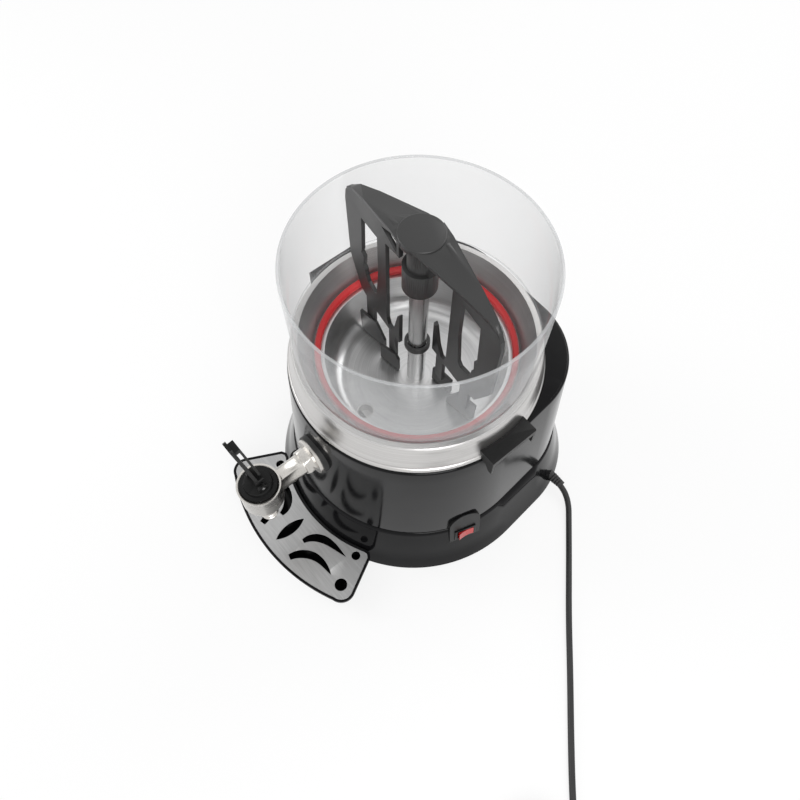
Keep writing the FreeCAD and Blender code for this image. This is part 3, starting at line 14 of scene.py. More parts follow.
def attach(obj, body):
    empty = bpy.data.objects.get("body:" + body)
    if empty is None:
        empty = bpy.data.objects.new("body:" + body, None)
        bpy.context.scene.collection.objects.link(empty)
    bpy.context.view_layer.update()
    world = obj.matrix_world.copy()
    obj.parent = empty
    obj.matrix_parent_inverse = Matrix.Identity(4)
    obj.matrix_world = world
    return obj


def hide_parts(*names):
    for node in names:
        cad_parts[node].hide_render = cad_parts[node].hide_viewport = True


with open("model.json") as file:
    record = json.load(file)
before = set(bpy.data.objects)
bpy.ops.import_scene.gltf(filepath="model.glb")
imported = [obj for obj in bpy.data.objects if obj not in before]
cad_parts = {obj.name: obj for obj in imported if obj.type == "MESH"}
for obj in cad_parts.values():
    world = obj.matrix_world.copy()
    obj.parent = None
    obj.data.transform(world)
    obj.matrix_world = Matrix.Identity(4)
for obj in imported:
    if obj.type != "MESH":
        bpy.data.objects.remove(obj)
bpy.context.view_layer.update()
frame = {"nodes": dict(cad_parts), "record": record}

log = logging.getLogger("dispenser")
logging.basicConfig(level=logging.INFO, format="%(message)s")

MM = 0.001               # one millimetre in metres
AXIS_Y = 0.0248          # the bowl's axis, in metres from the origin
TAP_Y = -0.1722          # the tap's upright axis, in metres from the origin
PAINTED_RIM_Z = 0.3634      # above this height the clear wall gets a painted grey rim band, a stand-in for light refracted and reflected in the thick bead, in metres
PAINTED_RIM_OPACITY = 0.55       # least opacity of the painted grey rim band above that height
EDGE_POWER = 2.2         # how fast the clear wall gets denser towards its outline
LONG_MARKS = 0.02        # squeeze of the coordinates along brushed lines
BROAD_SCALE = 22.0       # size of the slow changes in roughness
BUMP_DEPTH = 0.0004      # depth of the fine relief, in metres
MERGE_DIST = 1e-6        # turned points nearer than this are one point, in metres
FACET_DIST = 2e-6        # facet corners nearer than this are one corner, in metres
FACET_SHARP = 28.0       # edges of a copied node above this many degrees stay sharp
BEVEL_ABOVE = 40.0       # edges above this many degrees are rounded


class Grain(Enum):
    """How the fine marks of a surface run."""

    SPECKLE = "fine grain with no direction"
    TURNED = "rings about the bowl's axis"
    DRAWN = "lines along X"
    UPRIGHT = "lines along Z"


@dataclass(frozen=True)
class Finish:
    """A procedural surface: two colours, a span of roughness and a fine relief."""

    name: str
    colour: tuple[float, float, float]
    second: tuple[float, float, float]
    rough: tuple[float, float]
    metallic: float = 0.0
    grain: Grain = Grain.SPECKLE
    scale: float = 700.0
    relief: float = 0.04
    ior: float = 1.46
    specular: float = 0.5
    see_through: tuple[float, float] | None = None

    def grain_vector(self, tree: bpy.types.NodeTree) -> bpy.types.NodeSocket:
        """Stretch the object's own coordinates along the direction of the marks.

        Args:
            tree: The material's node tree.

        Returns:
            The socket that the noise reads.
        """
        coords = tree.nodes.new("ShaderNodeTexCoord")
        centred = tree.nodes.new("ShaderNodeMapping")
        centred.inputs["Location"].default_value = (0.0, -AXIS_Y, 0.0)
        tree.links.new(coords.outputs["Object"], centred.inputs["Vector"])
        if self.grain is Grain.TURNED:
            flat = tree.nodes.new("ShaderNodeVectorMath")
            flat.operation = "MULTIPLY"
            flat.inputs[1].default_value = (1.0, 1.0, 0.0)
            tree.links.new(centred.outputs["Vector"], flat.inputs[0])
            radius = tree.nodes.new("ShaderNodeVectorMath")
            radius.operation = "LENGTH"
            tree.links.new(flat.outputs["Vector"], radius.inputs[0])
            parts = tree.nodes.new("ShaderNodeSeparateXYZ")
            tree.links.new(centred.outputs["Vector"], parts.inputs["Vector"])
            joined = tree.nodes.new("ShaderNodeCombineXYZ")
            tree.links.new(radius.outputs["Value"], joined.inputs["X"])
            tree.links.new(parts.outputs["Z"], joined.inputs["Z"])
            return joined.outputs["Vector"]
        stretch = {Grain.DRAWN: (LONG_MARKS, 1.0, 1.0), Grain.UPRIGHT: (1.0, 1.0, LONG_MARKS)}
        centred.inputs["Scale"].default_value = stretch.get(self.grain, (1.0, 1.0, 1.0))
        return centred.outputs["Vector"]

    def build(self) -> bpy.types.Material:
        """Make the material.

        Returns:
            The node material, which is made once and then shared.
        """
        done = bpy.data.materials.get(self.name)
        if done:
            return done
        material = bpy.data.materials.new(self.name)
        material.use_nodes = True
        tree = material.node_tree
        shader = tree.nodes["Principled BSDF"]
        vector = self.grain_vector(tree)
        fine = tree.nodes.new("ShaderNodeTexNoise")
        fine.inputs["Scale"].default_value = self.scale
        fine.inputs["Detail"].default_value = 4.0
        tree.links.new(vector, fine.inputs["Vector"])
        broad = tree.nodes.new("ShaderNodeTexNoise")
        broad.inputs["Scale"].default_value = BROAD_SCALE
        broad.inputs["Detail"].default_value = 3.0
        tree.links.new(vector, broad.inputs["Vector"])
        ramp = tree.nodes.new("ShaderNodeValToRGB")
        ramp.color_ramp.elements[0].position = 0.35
        ramp.color_ramp.elements[0].color = (*self.colour, 1.0)
        ramp.color_ramp.elements[1].position = 0.68
        ramp.color_ramp.elements[1].color = (*self.second, 1.0)
        source = fine if self.grain is not Grain.SPECKLE else broad
        tree.links.new(source.outputs["Fac"], ramp.inputs["Fac"])
        tree.links.new(ramp.outputs["Color"], shader.inputs["Base Color"])
        span = tree.nodes.new("ShaderNodeMapRange")
        span.inputs["From Min"].default_value = 0.3
        span.inputs["From Max"].default_value = 0.7
        span.inputs["To Min"].default_value = self.rough[0]
        span.inputs["To Max"].default_value = self.rough[1]
        tree.links.new(broad.outputs["Fac"], span.inputs["Value"])
        tree.links.new(span.outputs["Result"], shader.inputs["Roughness"])
        relief = tree.nodes.new("ShaderNodeBump")
        relief.inputs["Strength"].default_value = self.relief
        relief.inputs["Distance"].default_value = BUMP_DEPTH
        tree.links.new(fine.outputs["Fac"], relief.inputs["Height"])
        tree.links.new(relief.outputs["Normal"], shader.inputs["Normal"])
        shader.inputs["Metallic"].default_value = self.metallic
        shader.inputs["IOR"].default_value = self.ior
        shader.inputs["Specular IOR Level"].default_value = self.specular
        if self.see_through:
            self.thin_wall(tree, shader)
        return material

    def thin_wall(self, tree: bpy.types.NodeTree, shader: bpy.types.Node) -> None:
        """Make the wall clear where it is faced and denser at its outline, and paint its rim as a grey band
        of painted reflection.

        Args:
            tree: The material's node tree.
            shader: The shader whose alpha is set.
        """
        facing = tree.nodes.new("ShaderNodeLayerWeight")
        facing.inputs["Blend"].default_value = 0.5
        span = tree.nodes.new("ShaderNodeMapRange")
        span.inputs["To Min"].default_value = self.see_through[0]
        span.inputs["To Max"].default_value = self.see_through[1]
        edge = tree.nodes.new("ShaderNodeMath")
        edge.operation = "POWER"
        edge.inputs[1].default_value = EDGE_POWER
        tree.links.new(facing.outputs["Facing"], edge.inputs[0])
        tree.links.new(edge.outputs[0], span.inputs["Value"])
        coords = tree.nodes.new("ShaderNodeTexCoord")
        parts = tree.nodes.new("ShaderNodeSeparateXYZ")
        tree.links.new(coords.outputs["Object"], parts.inputs["Vector"])
        # painted reflection: an opaque grey band above a set height stands in for the light refracted and
        # reflected in the thick clear bead
        rim = tree.nodes.new("ShaderNodeMath")
        rim.operation = "GREATER_THAN"
        rim.inputs[1].default_value = PAINTED_RIM_Z
        tree.links.new(parts.outputs["Z"], rim.inputs[0])
        painted_rim = tree.nodes.new("ShaderNodeMath")
        painted_rim.operation = "MULTIPLY"
        painted_rim.inputs[1].default_value = PAINTED_RIM_OPACITY
        tree.links.new(rim.outputs[0], painted_rim.inputs[0])
        most = tree.nodes.new("ShaderNodeMath")
        most.operation = "MAXIMUM"
        tree.links.new(span.outputs["Result"], most.inputs[0])
        tree.links.new(painted_rim.outputs[0], most.inputs[1])
        tree.links.new(most.outputs[0], shader.inputs["Alpha"])


GLOSS_BLACK = Finish(
    "gloss_black", (0.004, 0.004, 0.0045), (0.007, 0.007, 0.0075), (0.09, 0.16),
    scale=1500, relief=0.015, specular=0.14,
)
SATIN_BLACK = Finish(
    "satin_black", (0.006, 0.006, 0.006), (0.011, 0.011, 0.011), (0.30, 0.42),
    scale=2600, relief=0.18, specular=0.20,
)
STIRRER_BLACK = Finish(
    "stirrer_black", (0.005, 0.005, 0.005), (0.010, 0.010, 0.010), (0.22, 0.34),
    scale=1900, relief=0.10, specular=0.20,
)
LEAD_RUBBER = Finish(
    "lead_rubber", (0.014, 0.014, 0.014), (0.022, 0.022, 0.022), (0.45, 0.58), scale=1800, relief=0.15
)
# the grey colour shows where the wall is made dense: at its outline, and in the painted rim band that stands
# in for light refracted and reflected in the thick bead
CLEAR_WALL = Finish(
    "clear_wall", (0.50, 0.51, 0.52), (0.56, 0.57, 0.58), (0.03, 0.06),
    scale=60, relief=0.0, ior=1.49, see_through=(0.07, 0.50),
)
RING_STEEL = Finish(
    "ring_steel", (0.52, 0.51, 0.50), (0.66, 0.65, 0.64), (0.24, 0.34), 1.0, Grain.TURNED, 1400, 0.10
)
PAN_STEEL = Finish(
    "pan_steel", (0.55, 0.55, 0.55), (0.68, 0.68, 0.68), (0.26, 0.36), 1.0, Grain.TURNED, 1100, 0.12
)
PLATE_STEEL = Finish(
    "plate_steel", (0.36, 0.36, 0.36), (0.48, 0.48, 0.48), (0.30, 0.40), 1.0, Grain.DRAWN, 1800, 0.12
)
TUBE_STEEL = Finish(
    "tube_steel", (0.55, 0.55, 0.55), (0.66, 0.66, 0.66), (0.20, 0.30), 1.0, Grain.UPRIGHT, 1500, 0.08
)
PLAIN_STEEL = Finish("plain_steel", (0.42, 0.42, 0.42), (0.52, 0.52, 0.52), (0.30, 0.45), 1.0, scale=900)
SATIN_NICKEL = Finish(
    "satin_nickel", (0.56, 0.54, 0.51), (0.62, 0.60, 0.57), (0.22, 0.32), 1.0, scale=2200, relief=0.06
)
RED_SILICONE = Finish(
    "red_silicone", (0.56, 0.012, 0.018), (0.64, 0.020, 0.026), (0.34, 0.46), scale=1500, relief=0.06
)
PALE_SILICONE = Finish(
    "pale_silicone", (0.66, 0.66, 0.64), (0.72, 0.72, 0.70), (0.42, 0.52), scale=1500, relief=0.06
)
RED_ROCKER = Finish(
    "red_rocker", (0.42, 0.012, 0.012), (0.50, 0.018, 0.016), (0.18, 0.26), scale=900, relief=0.02
)
CAST_ALUMINIUM = Finish(
    "cast_aluminium", (0.45, 0.45, 0.46), (0.56, 0.56, 0.57), (0.45, 0.6), 1.0, scale=420, relief=0.35
)
MOTOR_PAINT = Finish(
    "motor_paint", (0.12, 0.125, 0.13), (0.17, 0.175, 0.18), (0.35, 0.5), scale=900, relief=0.08
)
PLAIN_BRASS = Finish("plain_brass", (0.62, 0.42, 0.16), (0.70, 0.50, 0.22), (0.28, 0.4), 1.0, scale=900)

# the finish of each material slot in the record, for the nodes that no finer piece stands for
SLOT_FINISHES = {
    "housing_black": GLOSS_BLACK,
    "clear_plastic": CLEAR_WALL,
    "brushed_steel": RING_STEEL,
    "plain_steel": PLAIN_STEEL,
    "nickel": SATIN_NICKEL,
    "red_silicone": RED_SILICONE,
    "stirrer_black": STIRRER_BLACK,
    "white_silicone": PALE_SILICONE,
    "black_plastic": SATIN_BLACK,
    "red_plastic": RED_ROCKER,
    "black_rubber": LEAD_RUBBER,
    "cast_aluminium": CAST_ALUMINIUM,
    "painted_metal": MOTOR_PAINT,
    "brass": PLAIN_BRASS,
}


def body_and_slot(node: str) -> tuple[str, str]:
    """Find the body that a CAD node rides on and its material slot.

    Args:
        node: The CAD node's name.

    Returns:
        The names of the body and of the slot.
    """
    record = frame["record"]
    body = next(name for name, members in record["behaviour"]["bodies"].items() if node in members)
    slot = next(entry["material_slot"] for entry in record["subparts"] if entry["node"] == node)
    return body, slot


def paint(piece: bpy.types.Object, finish: Finish) -> None:
    """Give a piece one finish all over.

    Args:
        piece: The mesh object to dress.
        finish: Its surface.
    """
    piece.data.materials.clear()
    piece.data.materials.append(finish.build())


def finish_piece(
    name: str, mesh: bmesh.types.BMesh, finish: Finish, node: str, sharp: float
) -> bpy.types.Object:
    """Turn a bmesh into a smooth-shaded piece that stands for a CAD node.

    Args:
        name: Name of the new piece.
        mesh: The finished shape, in metres in the frame. It is freed here.
        finish: The piece's surface.
        node: The CAD node that it replaces and whose body it rides on.
        sharp: Angle in degrees above which an edge stays sharp.

    Returns:
        The new object.
    """
    data = bpy.data.meshes.new(name)
    mesh.to_mesh(data)
    mesh.free()
    data.polygons.foreach_set("use_smooth", [True] * len(data.polygons))
    data.set_sharp_from_angle(angle=math.radians(sharp))
    piece = bpy.data.objects.new(name, data)
    bpy.context.scene.collection.objects.link(piece)
    paint(piece, finish)
    body, slot = body_and_slot(node)
    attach(piece, body)
    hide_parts(node)
    log.info("%s stands for %s, %d faces", name, node, len(data.polygons))
    return piece


def turned(
    profile: list[tuple[float, float]], centre: tuple[float, float], steps: int
) -> bmesh.types.BMesh:
    """Spin a closed profile about an upright axis.

    Args:
        profile: Closed chain of (radius, height) pairs, in millimetres.
        centre: The axis, as (x, y) in metres.
        steps: Number of steps in the full turn.

    Returns:
        The closed shape.
    """
    mesh = bmesh.new()
    verts = [mesh.verts.new((centre[0] + r * MM, centre[1], z * MM)) for r, z in profile]
    edges = [mesh.edges.new((verts[i - 1], verts[i])) for i in range(len(verts))]
    bmesh.ops.spin(
        mesh, geom=verts + edges, cent=(*centre, 0.0), axis=(0, 0, 1), angle=math.tau,
        steps=steps, use_merge=True,
    )
    bmesh.ops.remove_doubles(mesh, verts=mesh.verts[:], dist=MERGE_DIST)
    bmesh.ops.recalc_face_normals(mesh, faces=mesh.faces[:])
    return mesh


def rounded(profile: list[tuple[float, float]], radius: float, rounds: int = 4) -> list[tuple[float, float]]:
    """Round every corner of a closed profile with a short arc of a few points.

    Args:
        profile: Closed chain of (radius, height) pairs, in millimetres.
        radius: Wanted size of the corner; short sides get less.
        rounds: Points in each corner.

    Returns:
        The rounded chain.
    """
    chain = []
    for i, corner in enumerate(profile):
        here = Vector(corner)
        before = Vector(profile[i - 1]) - here
        after = Vector(profile[(i + 1) % len(profile)]) - here
        reach = min(radius, before.length * 0.45, after.length * 0.45)
        start, end = here + before.normalized() * reach, here + after.normalized() * reach
        for k in range(rounds):
            t = k / (rounds - 1)
            point = start * (1 - t) ** 2 + here * (2 * t * (1 - t)) + end * t ** 2
            chain.append((point.x, point.y))
    return chain


def refined(node: str, finish: Finish, edge: float = 0.0) -> bpy.types.Object:
    """Copy a CAD node, merge its loose facets, smooth it and round its edges a little.

    Args:
        node: The CAD node to copy and stand for.
        finish: The piece's surface.
        edge: Width of the rounded edges in millimetres, or 0 for none.

    Returns:
        The new object, named after the node with "_fine" added.
    """
    mesh = bmesh.new()
    mesh.from_mesh(frame["nodes"][node].data)
    bmesh.ops.remove_doubles(mesh, verts=mesh.verts[:], dist=FACET_DIST)
    piece = finish_piece(node + "_fine", mesh, finish, node, FACET_SHARP)
    if edge:
        soften = piece.modifiers.new("edges", "BEVEL")
        soften.width = edge * MM
        soften.segments = 2
        soften.limit_method = "ANGLE"
        soften.angle_limit = math.radians(BEVEL_ABOVE)
        soften.harden_normals = True
    return piece


@dataclass
class Housing:
    """The black upper shell and its plinth."""

    shells: tuple[str, ...] = ("upper_shell", "plinth_base")

    def build(self) -> None:
        """Make the shell and the plinth smooth and glossy."""
        for node in self.shells:
            refined(node, GLOSS_BLACK)


@dataclass
class Controls:
    """The switch and the thermostat on their arched bezels (millimetres)."""

    edge: float = 0.5

    def build(self) -> None:
        """Make the bezels, the rocker and the knob."""
        refined("switch_bezel", SATIN_BLACK, self.edge)
        refined("knob_bezel", SATIN_BLACK, self.edge)
        refined("switch_body", GLOSS_BLACK, self.edge)
        refined("power_rocker", RED_ROCKER, self.edge)
        refined("thermostat_knob", SATIN_BLACK, self.edge)


@dataclass
class Bowl:
    """The clear wall, the stepped ring, the gasket, the pan and the handles (millimetres)."""

    rim_z: float = 364.6
    rim_r: float = 120.0
    foot_r: float = 118.0
    wall: float = 3.0
    lip_r: float = 121.3
    lip_z: float = 255.0
    foot_z: float = 251.0
    cone_top_r: float = 115.0
    cone_low_r: float = 102.5
    cone_low_z: float = 229.3
    bead_steps: int = 8
    lip_edge: float = 1.0
    root: tuple[float, float] = (0.2, 0.8)
    bend: tuple[float, float] = (1.5, 2.0)
    seat_width: float = 2.4
    seat_edge: tuple[float, float] = (0.6, 0.8)
    seal_low_z: float = 222.3
    seal_inner_r: float = 94.5
    seal_outer_r: float = 100.8
    seal_flat_r: float = 99.0
    seal_crown: tuple[float, float] = (95.9, 0.6)
    seal_side: float = 2.2
    seal_chamfer: float = 1.2
    seal_round: float = 0.7
    handle_edge: float = 0.6

    def clear_wall(self) -> None:
        """Spin the clear wall with a fully rounded rim."""
        half = self.wall / 2
        inner_r = self.foot_r - self.wall
        seat_r = self.cone_low_r - self.seat_width
        bead = [
            (self.rim_r - half + half * math.cos(a), self.rim_z - half + half * math.sin(a))
            for a in [math.pi * k / self.bead_steps for k in range(self.bead_steps + 1)]
        ]
        profile = [
            (self.lip_r - self.lip_edge, self.foot_z),
            (self.lip_r, self.foot_z + self.lip_edge),
            (self.lip_r, self.lip_z - self.lip_edge),
            (self.lip_r - self.lip_edge, self.lip_z),
            (self.foot_r + self.root[0], self.lip_z + self.root[1]),
        ]
        profile += bead
        profile += [
            (inner_r, self.lip_z + self.bend[1]),
            (inner_r - self.bend[0], self.lip_z - self.lip_edge),
            (seat_r - self.seat_edge[0], self.cone_low_z + self.seat_edge[1]),
            (seat_r, self.cone_low_z),
            (self.cone_low_r, self.cone_low_z),
            (self.cone_top_r - self.lip_edge, self.foot_z),
        ]
        mesh = turned(profile, (0.0, AXIS_Y), 160)
        finish_piece("clear_wall", mesh, CLEAR_WALL, "bowl_wall", 40.0)

    def gasket(self) -> None:
        """Spin the red silicone ring with soft edges."""
        low, high = self.seal_low_z, self.cone_low_z
        profile = [
            (self.seal_inner_r + self.seal_chamfer, low),
            (self.seal_outer_r, low),
            (self.seal_outer_r, high),
            (self.seal_flat_r, high),
            (self.seal_crown[0], high - self.seal_crown[1]),
            (self.seal_inner_r, high - self.seal_side),
            (self.seal_inner_r, low + self.seal_chamfer),
        ]
        mesh = turned(rounded(profile, self.seal_round), (0.0, AXIS_Y), 128)
        finish_piece("red_gasket", mesh, RED_SILICONE, "bowl_gasket", 45.0)

    def build(self) -> None:
        """Make every piece of the bowl."""
        self.clear_wall()
        self.gasket()
        refined("bowl_ring", RING_STEEL)
        refined("bowl_pan", PAN_STEEL)
        refined("centre_tube", TUBE_STEEL)
        refined("handle_right", SATIN_BLACK, self.handle_edge)
        refined("handle_left", SATIN_BLACK, self.handle_edge)


@dataclass
class Agitator:
    """The stirrer's winged frame, wiper pads and clip (millimetres)."""

    edge: float = 0.7

    def build(self) -> None:
        """Make the moulded frame, the pads and the clip with rounded edges."""
        for node in ("agitator_frame", "wiper_pads", "agitator_clip"):
            refined(node, STIRRER_BLACK, self.edge)


@dataclass
class Tap:
    """The tap: body, ribbed spout, bonnet and lever (millimetres)."""

    low_z: float = 103.0
    high_z: float = 144.0
    radius: float = 8.5
    bore: float = 6.2
    ribs: int = 6
    taper: float = 0.8
    rib_start: float = 0.8
    rib_height: float = 0.7
    rib_foot: tuple[float, float] = (-0.3, 2.3)
    rib_crest: tuple[float, float] = (0.2, 1.8)
    rib_round: float = 0.5
    cap_edge: float = 0.5

    def spout(self) -> None:
        """Spin the spout with rounded ribs."""
        length = self.high_z - self.low_z
        pitch = length / (self.ribs + 1)
        crest = self.radius + self.rib_height
        outside = [(self.radius - self.taper, self.low_z)]
        for index in range(self.ribs):
            z = self.low_z + pitch * (index + self.rib_start)
            r = self.radius - self.taper + self.taper * (z - self.low_z) / length
            outside += [
                (r, z + self.rib_foot[0]), (crest, z + self.rib_crest[0]),
                (crest, z + self.rib_crest[1]), (r, z + self.rib_foot[1]),
            ]
        outside += [(self.radius, self.high_z), (self.bore, self.high_z), (self.bore, self.low_z)]
        mesh = turned(rounded(outside, self.rib_round, 3), (0.0, TAP_Y), 64)
        finish_piece("ribbed_spout", mesh, SATIN_NICKEL, "spout_nozzle", 50.0)

    def build(self) -> None:
        """Make every piece of the tap."""
        self.spout()
        for node in ("tap_body", "tap_hex_nut", "tap_washer"):
            refined(node, SATIN_NICKEL)
        for node in ("tap_bonnet", "tap_lever"):
            refined(node, SATIN_BLACK, self.cap_edge)


@dataclass
class DripTray:
    """The black tray and its slotted steel plate (millimetres)."""

    tray_edge: float = 0.5
    plate_edge: float = 0.2

    def build(self) -> None:
        """Make the tray and the plate."""
        refined("drip_tray", GLOSS_BLACK, self.tray_edge)
        refined("drip_grille", PLATE_STEEL, self.plate_edge)


@dataclass
class MainsLead:
    """The lead from the rear corner, its run on the table, its coil and its plug.

    The diameter, the length, the coil's middle and the last points are in metres, the radii and
    heights of the turns in millimetres, and the angles in degrees.
    """

    diameter: float = 0.007
    length: float = 1.5
    coil: tuple[float, float] = (0.4179, -0.1708)
    inner: float = 35.0
    middle: float = 38.5
    outer: float = 42.0
    low: float = 3.5
    high: float = 10.5
    top: float = 16.6
    start: float = 46.9
    first_turn: float = 8.0
    last_turn: float = 1529.4
    turn_step: float = 20.0
    spline_share: float = 0.988
    to_plug: tuple[tuple[float, float, float], ...] = ((0.4396, -0.2042, 0.0172), (0.4328, -0.2116, 0.0175))
    plug_edge: float = 0.5

    def run(self) -> list[tuple[float, float, float]]:
        """List the points of the run on the table, in millimetres from the bowl's axis."""
        return [
            (138.0, 98.3, 12.0), (158.6, 100.0, 10.6), (178.6, 93.2, 6.4), (197.5, 75.0, 3.6),
            (231.5, 40.6, 3.5), (273.5, -2.6, 3.5), (318.0, -45.6, 3.5), (363.0, -90.4, 3.5),
            (405.0, -131.0, 3.5), (432.0, -153.8, 3.5),
        ]

    def turn_place(self, turn: float) -> tuple[float, float]:
        """Find the radius and height of the coil at an angle along it.

        Args:
            turn: Degrees travelled since the coil began.

        Returns:
            Radius and height in millimetres.
        """
        radius = (
            (0, self.outer), (290, self.outer), (360, self.inner), (970, self.inner), (1030, self.outer),
            (1330, self.outer), (1385, self.middle), (2000, self.middle),
        )
        height = (
            (0, self.low), (622, self.low), (700, self.high), (1330, self.high), (1385, self.top),
            (2000, self.top),
        )
        return self.blend(radius, turn), self.blend(height, turn)

    def blend(self, stops: tuple[tuple[float, float], ...], turn: float) -> float:
        """Ease between listed stops.

        Args:
            stops: Pairs of (degrees, value) in rising order.
            turn: Degrees travelled since the coil began.

        Returns:
            The value at that turn.
        """
        for (a, low), (b, high) in zip(stops, stops[1:]):
            if turn <= b:
                t = (turn - a) / (b - a)
                return low + (high - low) * t * t * (3 - 2 * t)
        return stops[-1][1]

    def route(self) -> list[Vector]:
        """Join the run, the turns of the coil and the last stretch to the plug.

        Returns:
            The spline's control points, in metres. A turn's points lie a little outside the turn,
            because the spline passes inside them.
        """
        points = [Vector((x * MM, y * MM + AXIS_Y, z * MM)) for x, y, z in self.run()]
        turn = self.first_turn
        while turn <= self.last_turn:
            radius, height = self.turn_place(turn)
            angle = math.radians(self.start - turn)
            reach = radius * MM / self.spline_share
            x = self.coil[0] + reach * math.cos(angle)
            y = self.coil[1] + reach * math.sin(angle)
            points.append(Vector((x, y, height * MM)))
            turn += self.turn_step
        return points + [Vector(point) for point in self.to_plug]

    def build(self) -> None:
        """Make the lead as one spline, and dress its sleeve, plug and pins."""
        points = self.route()
        curve = bpy.data.curves.new("mains_lead", "CURVE")
        curve.dimensions = "3D"
        curve.bevel_depth = self.diameter / 2
        curve.bevel_resolution = 4
        curve.resolution_u = 6
        curve.use_fill_caps = True
        spline = curve.splines.new("NURBS")
        spline.points.add(len(points) - 1)
        for slot, point in zip(spline.points, points):
            slot.co = (*point, 1.0)
        spline.order_u = 3
        spline.use_endpoint_u = True
        lead = bpy.data.objects.new("mains_lead", curve)
        bpy.context.scene.collection.objects.link(lead)
        curve.materials.append(LEAD_RUBBER.build())
        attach(lead, "machine")
        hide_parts("power_cord", "cord_coil")
        plug = refined("mains_plug", LEAD_RUBBER, self.plug_edge)
        sleeve = refined("strain_relief", LEAD_RUBBER)
        pins = refined("plug_pins", SATIN_NICKEL)
        log.info("mains lead, %d points", len(points))


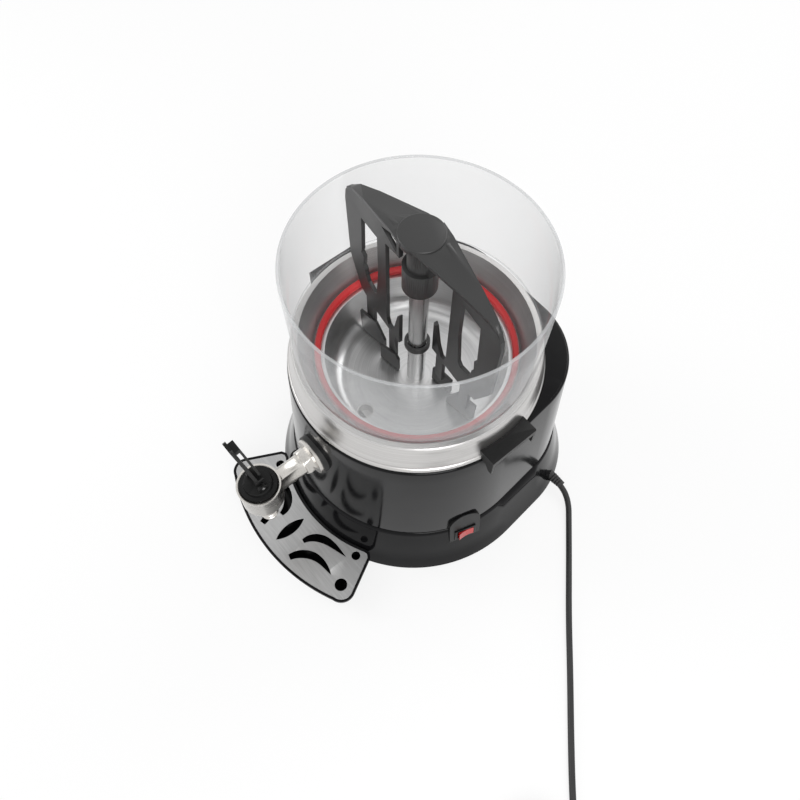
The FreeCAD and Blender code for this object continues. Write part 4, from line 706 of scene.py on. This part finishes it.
@dataclass
class Studio:
    """Plain white floor, soft lights and the camera.

    The angles are in degrees and the places in metres. The focal length and the middle of the view
    are in pixels of the photograph's frame.
    """

    azimuth: float = 47.5
    elevation: float = 62.1
    roll: float = 2.6
    place: tuple[float, float, float] = (0.29708, -0.24727, 0.87771)
    focal: float = 775.49
    principal: tuple[float, float] = (414.67, 400.47)
    picture: float = 800.0
    sensor: float = 36.0
    world_light: float = 0.55
    floor_size: float = 4.0
    floor_white: float = 0.9
    floor_glow: float = 0.8
    aim: tuple[float, float, float] = (0.0, 0.0, 0.2)

    def camera(self) -> None:
        """Place the camera at the photograph's viewpoint, for a frame of 800 by 800."""
        a, e, r = (math.radians(v) for v in (self.azimuth, self.elevation, self.roll))
        toward = Vector((math.sin(a) * math.cos(e), -math.cos(a) * math.cos(e), math.sin(e)))
        right = Vector((math.cos(a), math.sin(a), 0.0))
        up = toward.cross(right)
        side = right * math.cos(r) + up * math.sin(r)
        top = up * math.cos(r) - right * math.sin(r)
        data = bpy.data.cameras.new("view")
        data.sensor_width = self.sensor
        data.lens = self.focal * self.sensor / self.picture
        data.shift_x = -(self.principal[0] - self.picture / 2) / self.picture
        data.shift_y = (self.principal[1] - self.picture / 2) / self.picture
        data.clip_start = 0.01
        camera = bpy.data.objects.new("view", data)
        basis = Matrix((side, top, toward)).transposed().to_4x4()
        camera.matrix_world = Matrix.Translation(self.place) @ basis
        bpy.context.scene.collection.objects.link(camera)
        bpy.context.scene.camera = camera

    def seen_rays(self, tree: bpy.types.NodeTree) -> bpy.types.NodeSocket:
        """Tell the camera, glossy and transmission rays from those that light the object.

        Args:
            tree: The node tree of the world or of a stage material.

        Returns:
            A socket that is 1 for the rays that show the surface and 0 for the others.
        """
        path = tree.nodes.new("ShaderNodeLightPath")
        first = tree.nodes.new("ShaderNodeMath")
        first.operation = "MAXIMUM"
        second = tree.nodes.new("ShaderNodeMath")
        second.operation = "MAXIMUM"
        tree.links.new(path.outputs["Is Camera Ray"], first.inputs[0])
        tree.links.new(path.outputs["Is Glossy Ray"], first.inputs[1])
        tree.links.new(first.outputs[0], second.inputs[0])
        tree.links.new(path.outputs["Is Transmission Ray"], second.inputs[1])
        return second.outputs[0]

    def world(self) -> None:
        """White where it is seen, and a soft grey where it lights."""
        world = bpy.data.worlds.new("studio")
        world.use_nodes = True
        tree = world.node_tree
        seen = tree.nodes["Background"]
        seen.inputs["Color"].default_value = (1, 1, 1, 1)
        light = tree.nodes.new("ShaderNodeBackground")
        light.inputs["Color"].default_value = (1, 1, 1, 1)
        light.inputs["Strength"].default_value = self.world_light
        mix = tree.nodes.new("ShaderNodeMixShader")
        tree.links.new(self.seen_rays(tree), mix.inputs[0])
        tree.links.new(light.outputs[0], mix.inputs[1])
        tree.links.new(seen.outputs[0], mix.inputs[2])
        tree.links.new(mix.outputs[0], tree.nodes["World Output"].inputs["Surface"])
        bpy.context.scene.world = world

    def floor(self) -> None:
        """Lay a white floor that keeps a faint shadow."""
        mesh = bmesh.new()
        bmesh.ops.create_grid(mesh, x_segments=2, y_segments=2, size=self.floor_size)
        data = bpy.data.meshes.new("floor")
        mesh.to_mesh(data)
        mesh.free()
        floor = bpy.data.objects.new("floor", data)
        bpy.context.scene.collection.objects.link(floor)
        material = bpy.data.materials.new("white_floor")
        material.use_nodes = True
        tree = material.node_tree
        shader = tree.nodes["Principled BSDF"]
        shader.inputs["Base Color"].default_value = (*[self.floor_white] * 3, 1)
        shader.inputs["Roughness"].default_value = 0.9
        glow = tree.nodes.new("ShaderNodeEmission")
        glow.inputs["Strength"].default_value = 1.0
        share = tree.nodes.new("ShaderNodeMath")
        share.operation = "MULTIPLY"
        share.inputs[1].default_value = self.floor_glow
        tree.links.new(self.seen_rays(tree), share.inputs[0])
        mix = tree.nodes.new("ShaderNodeMixShader")
        tree.links.new(share.outputs[0], mix.inputs[0])
        tree.links.new(shader.outputs[0], mix.inputs[1])
        tree.links.new(glow.outputs[0], mix.inputs[2])
        tree.links.new(mix.outputs[0], tree.nodes["Material Output"].inputs["Surface"])
        data.materials.append(material)

    def lamp(
        self, name: str, place: tuple[float, float, float], size: tuple[float, float], power: float
    ) -> None:
        """Hang a soft rectangular lamp that points at the bowl.

        Args:
            name: Name of the lamp.
            place: Its middle, in metres.
            size: Its two sides, in metres.
            power: Its power in watts.
        """
        data = bpy.data.lights.new(name, "AREA")
        data.shape = "RECTANGLE"
        data.size, data.size_y = size
        data.energy = power
        lamp = bpy.data.objects.new(name, data)
        toward = Vector(self.aim) - Vector(place)
        lamp.matrix_world = Matrix.Translation(place) @ toward.to_track_quat("-Z", "Y").to_matrix().to_4x4()
        bpy.context.scene.collection.objects.link(lamp)

    def build(self) -> None:
        """Set up the view, the floor and the lights."""
        self.camera()
        self.world()
        self.floor()
        self.lamp("key", (1.3, -0.6, 1.2), (0.7, 1.2), 16.0)
        self.lamp("fill", (-1.2, -0.9, 1.0), (0.8, 1.0), 10.0)
        self.lamp("back", (-0.2, 1.4, 1.3), (1.2, 0.7), 9.0)


def dress_rest() -> None:
    """Give every CAD node the finish of its slot, for those that stay in view."""
    for node, piece in frame["nodes"].items():
        paint(piece, SLOT_FINISHES[body_and_slot(node)[1]])


def main() -> None:
    """Build every sub-assembly in order."""
    scene = bpy.context.scene
    scene.view_settings.view_transform = "Standard"
    dress_rest()
    for assembly in (Studio(), MainsLead(), Housing(), Controls(), Bowl(), Agitator(), Tap(), DripTray()):
        log.info("building %s", type(assembly).__name__)
        assembly.build()
    bpy.context.view_layer.update()


if __name__ == "__main__":
    main()
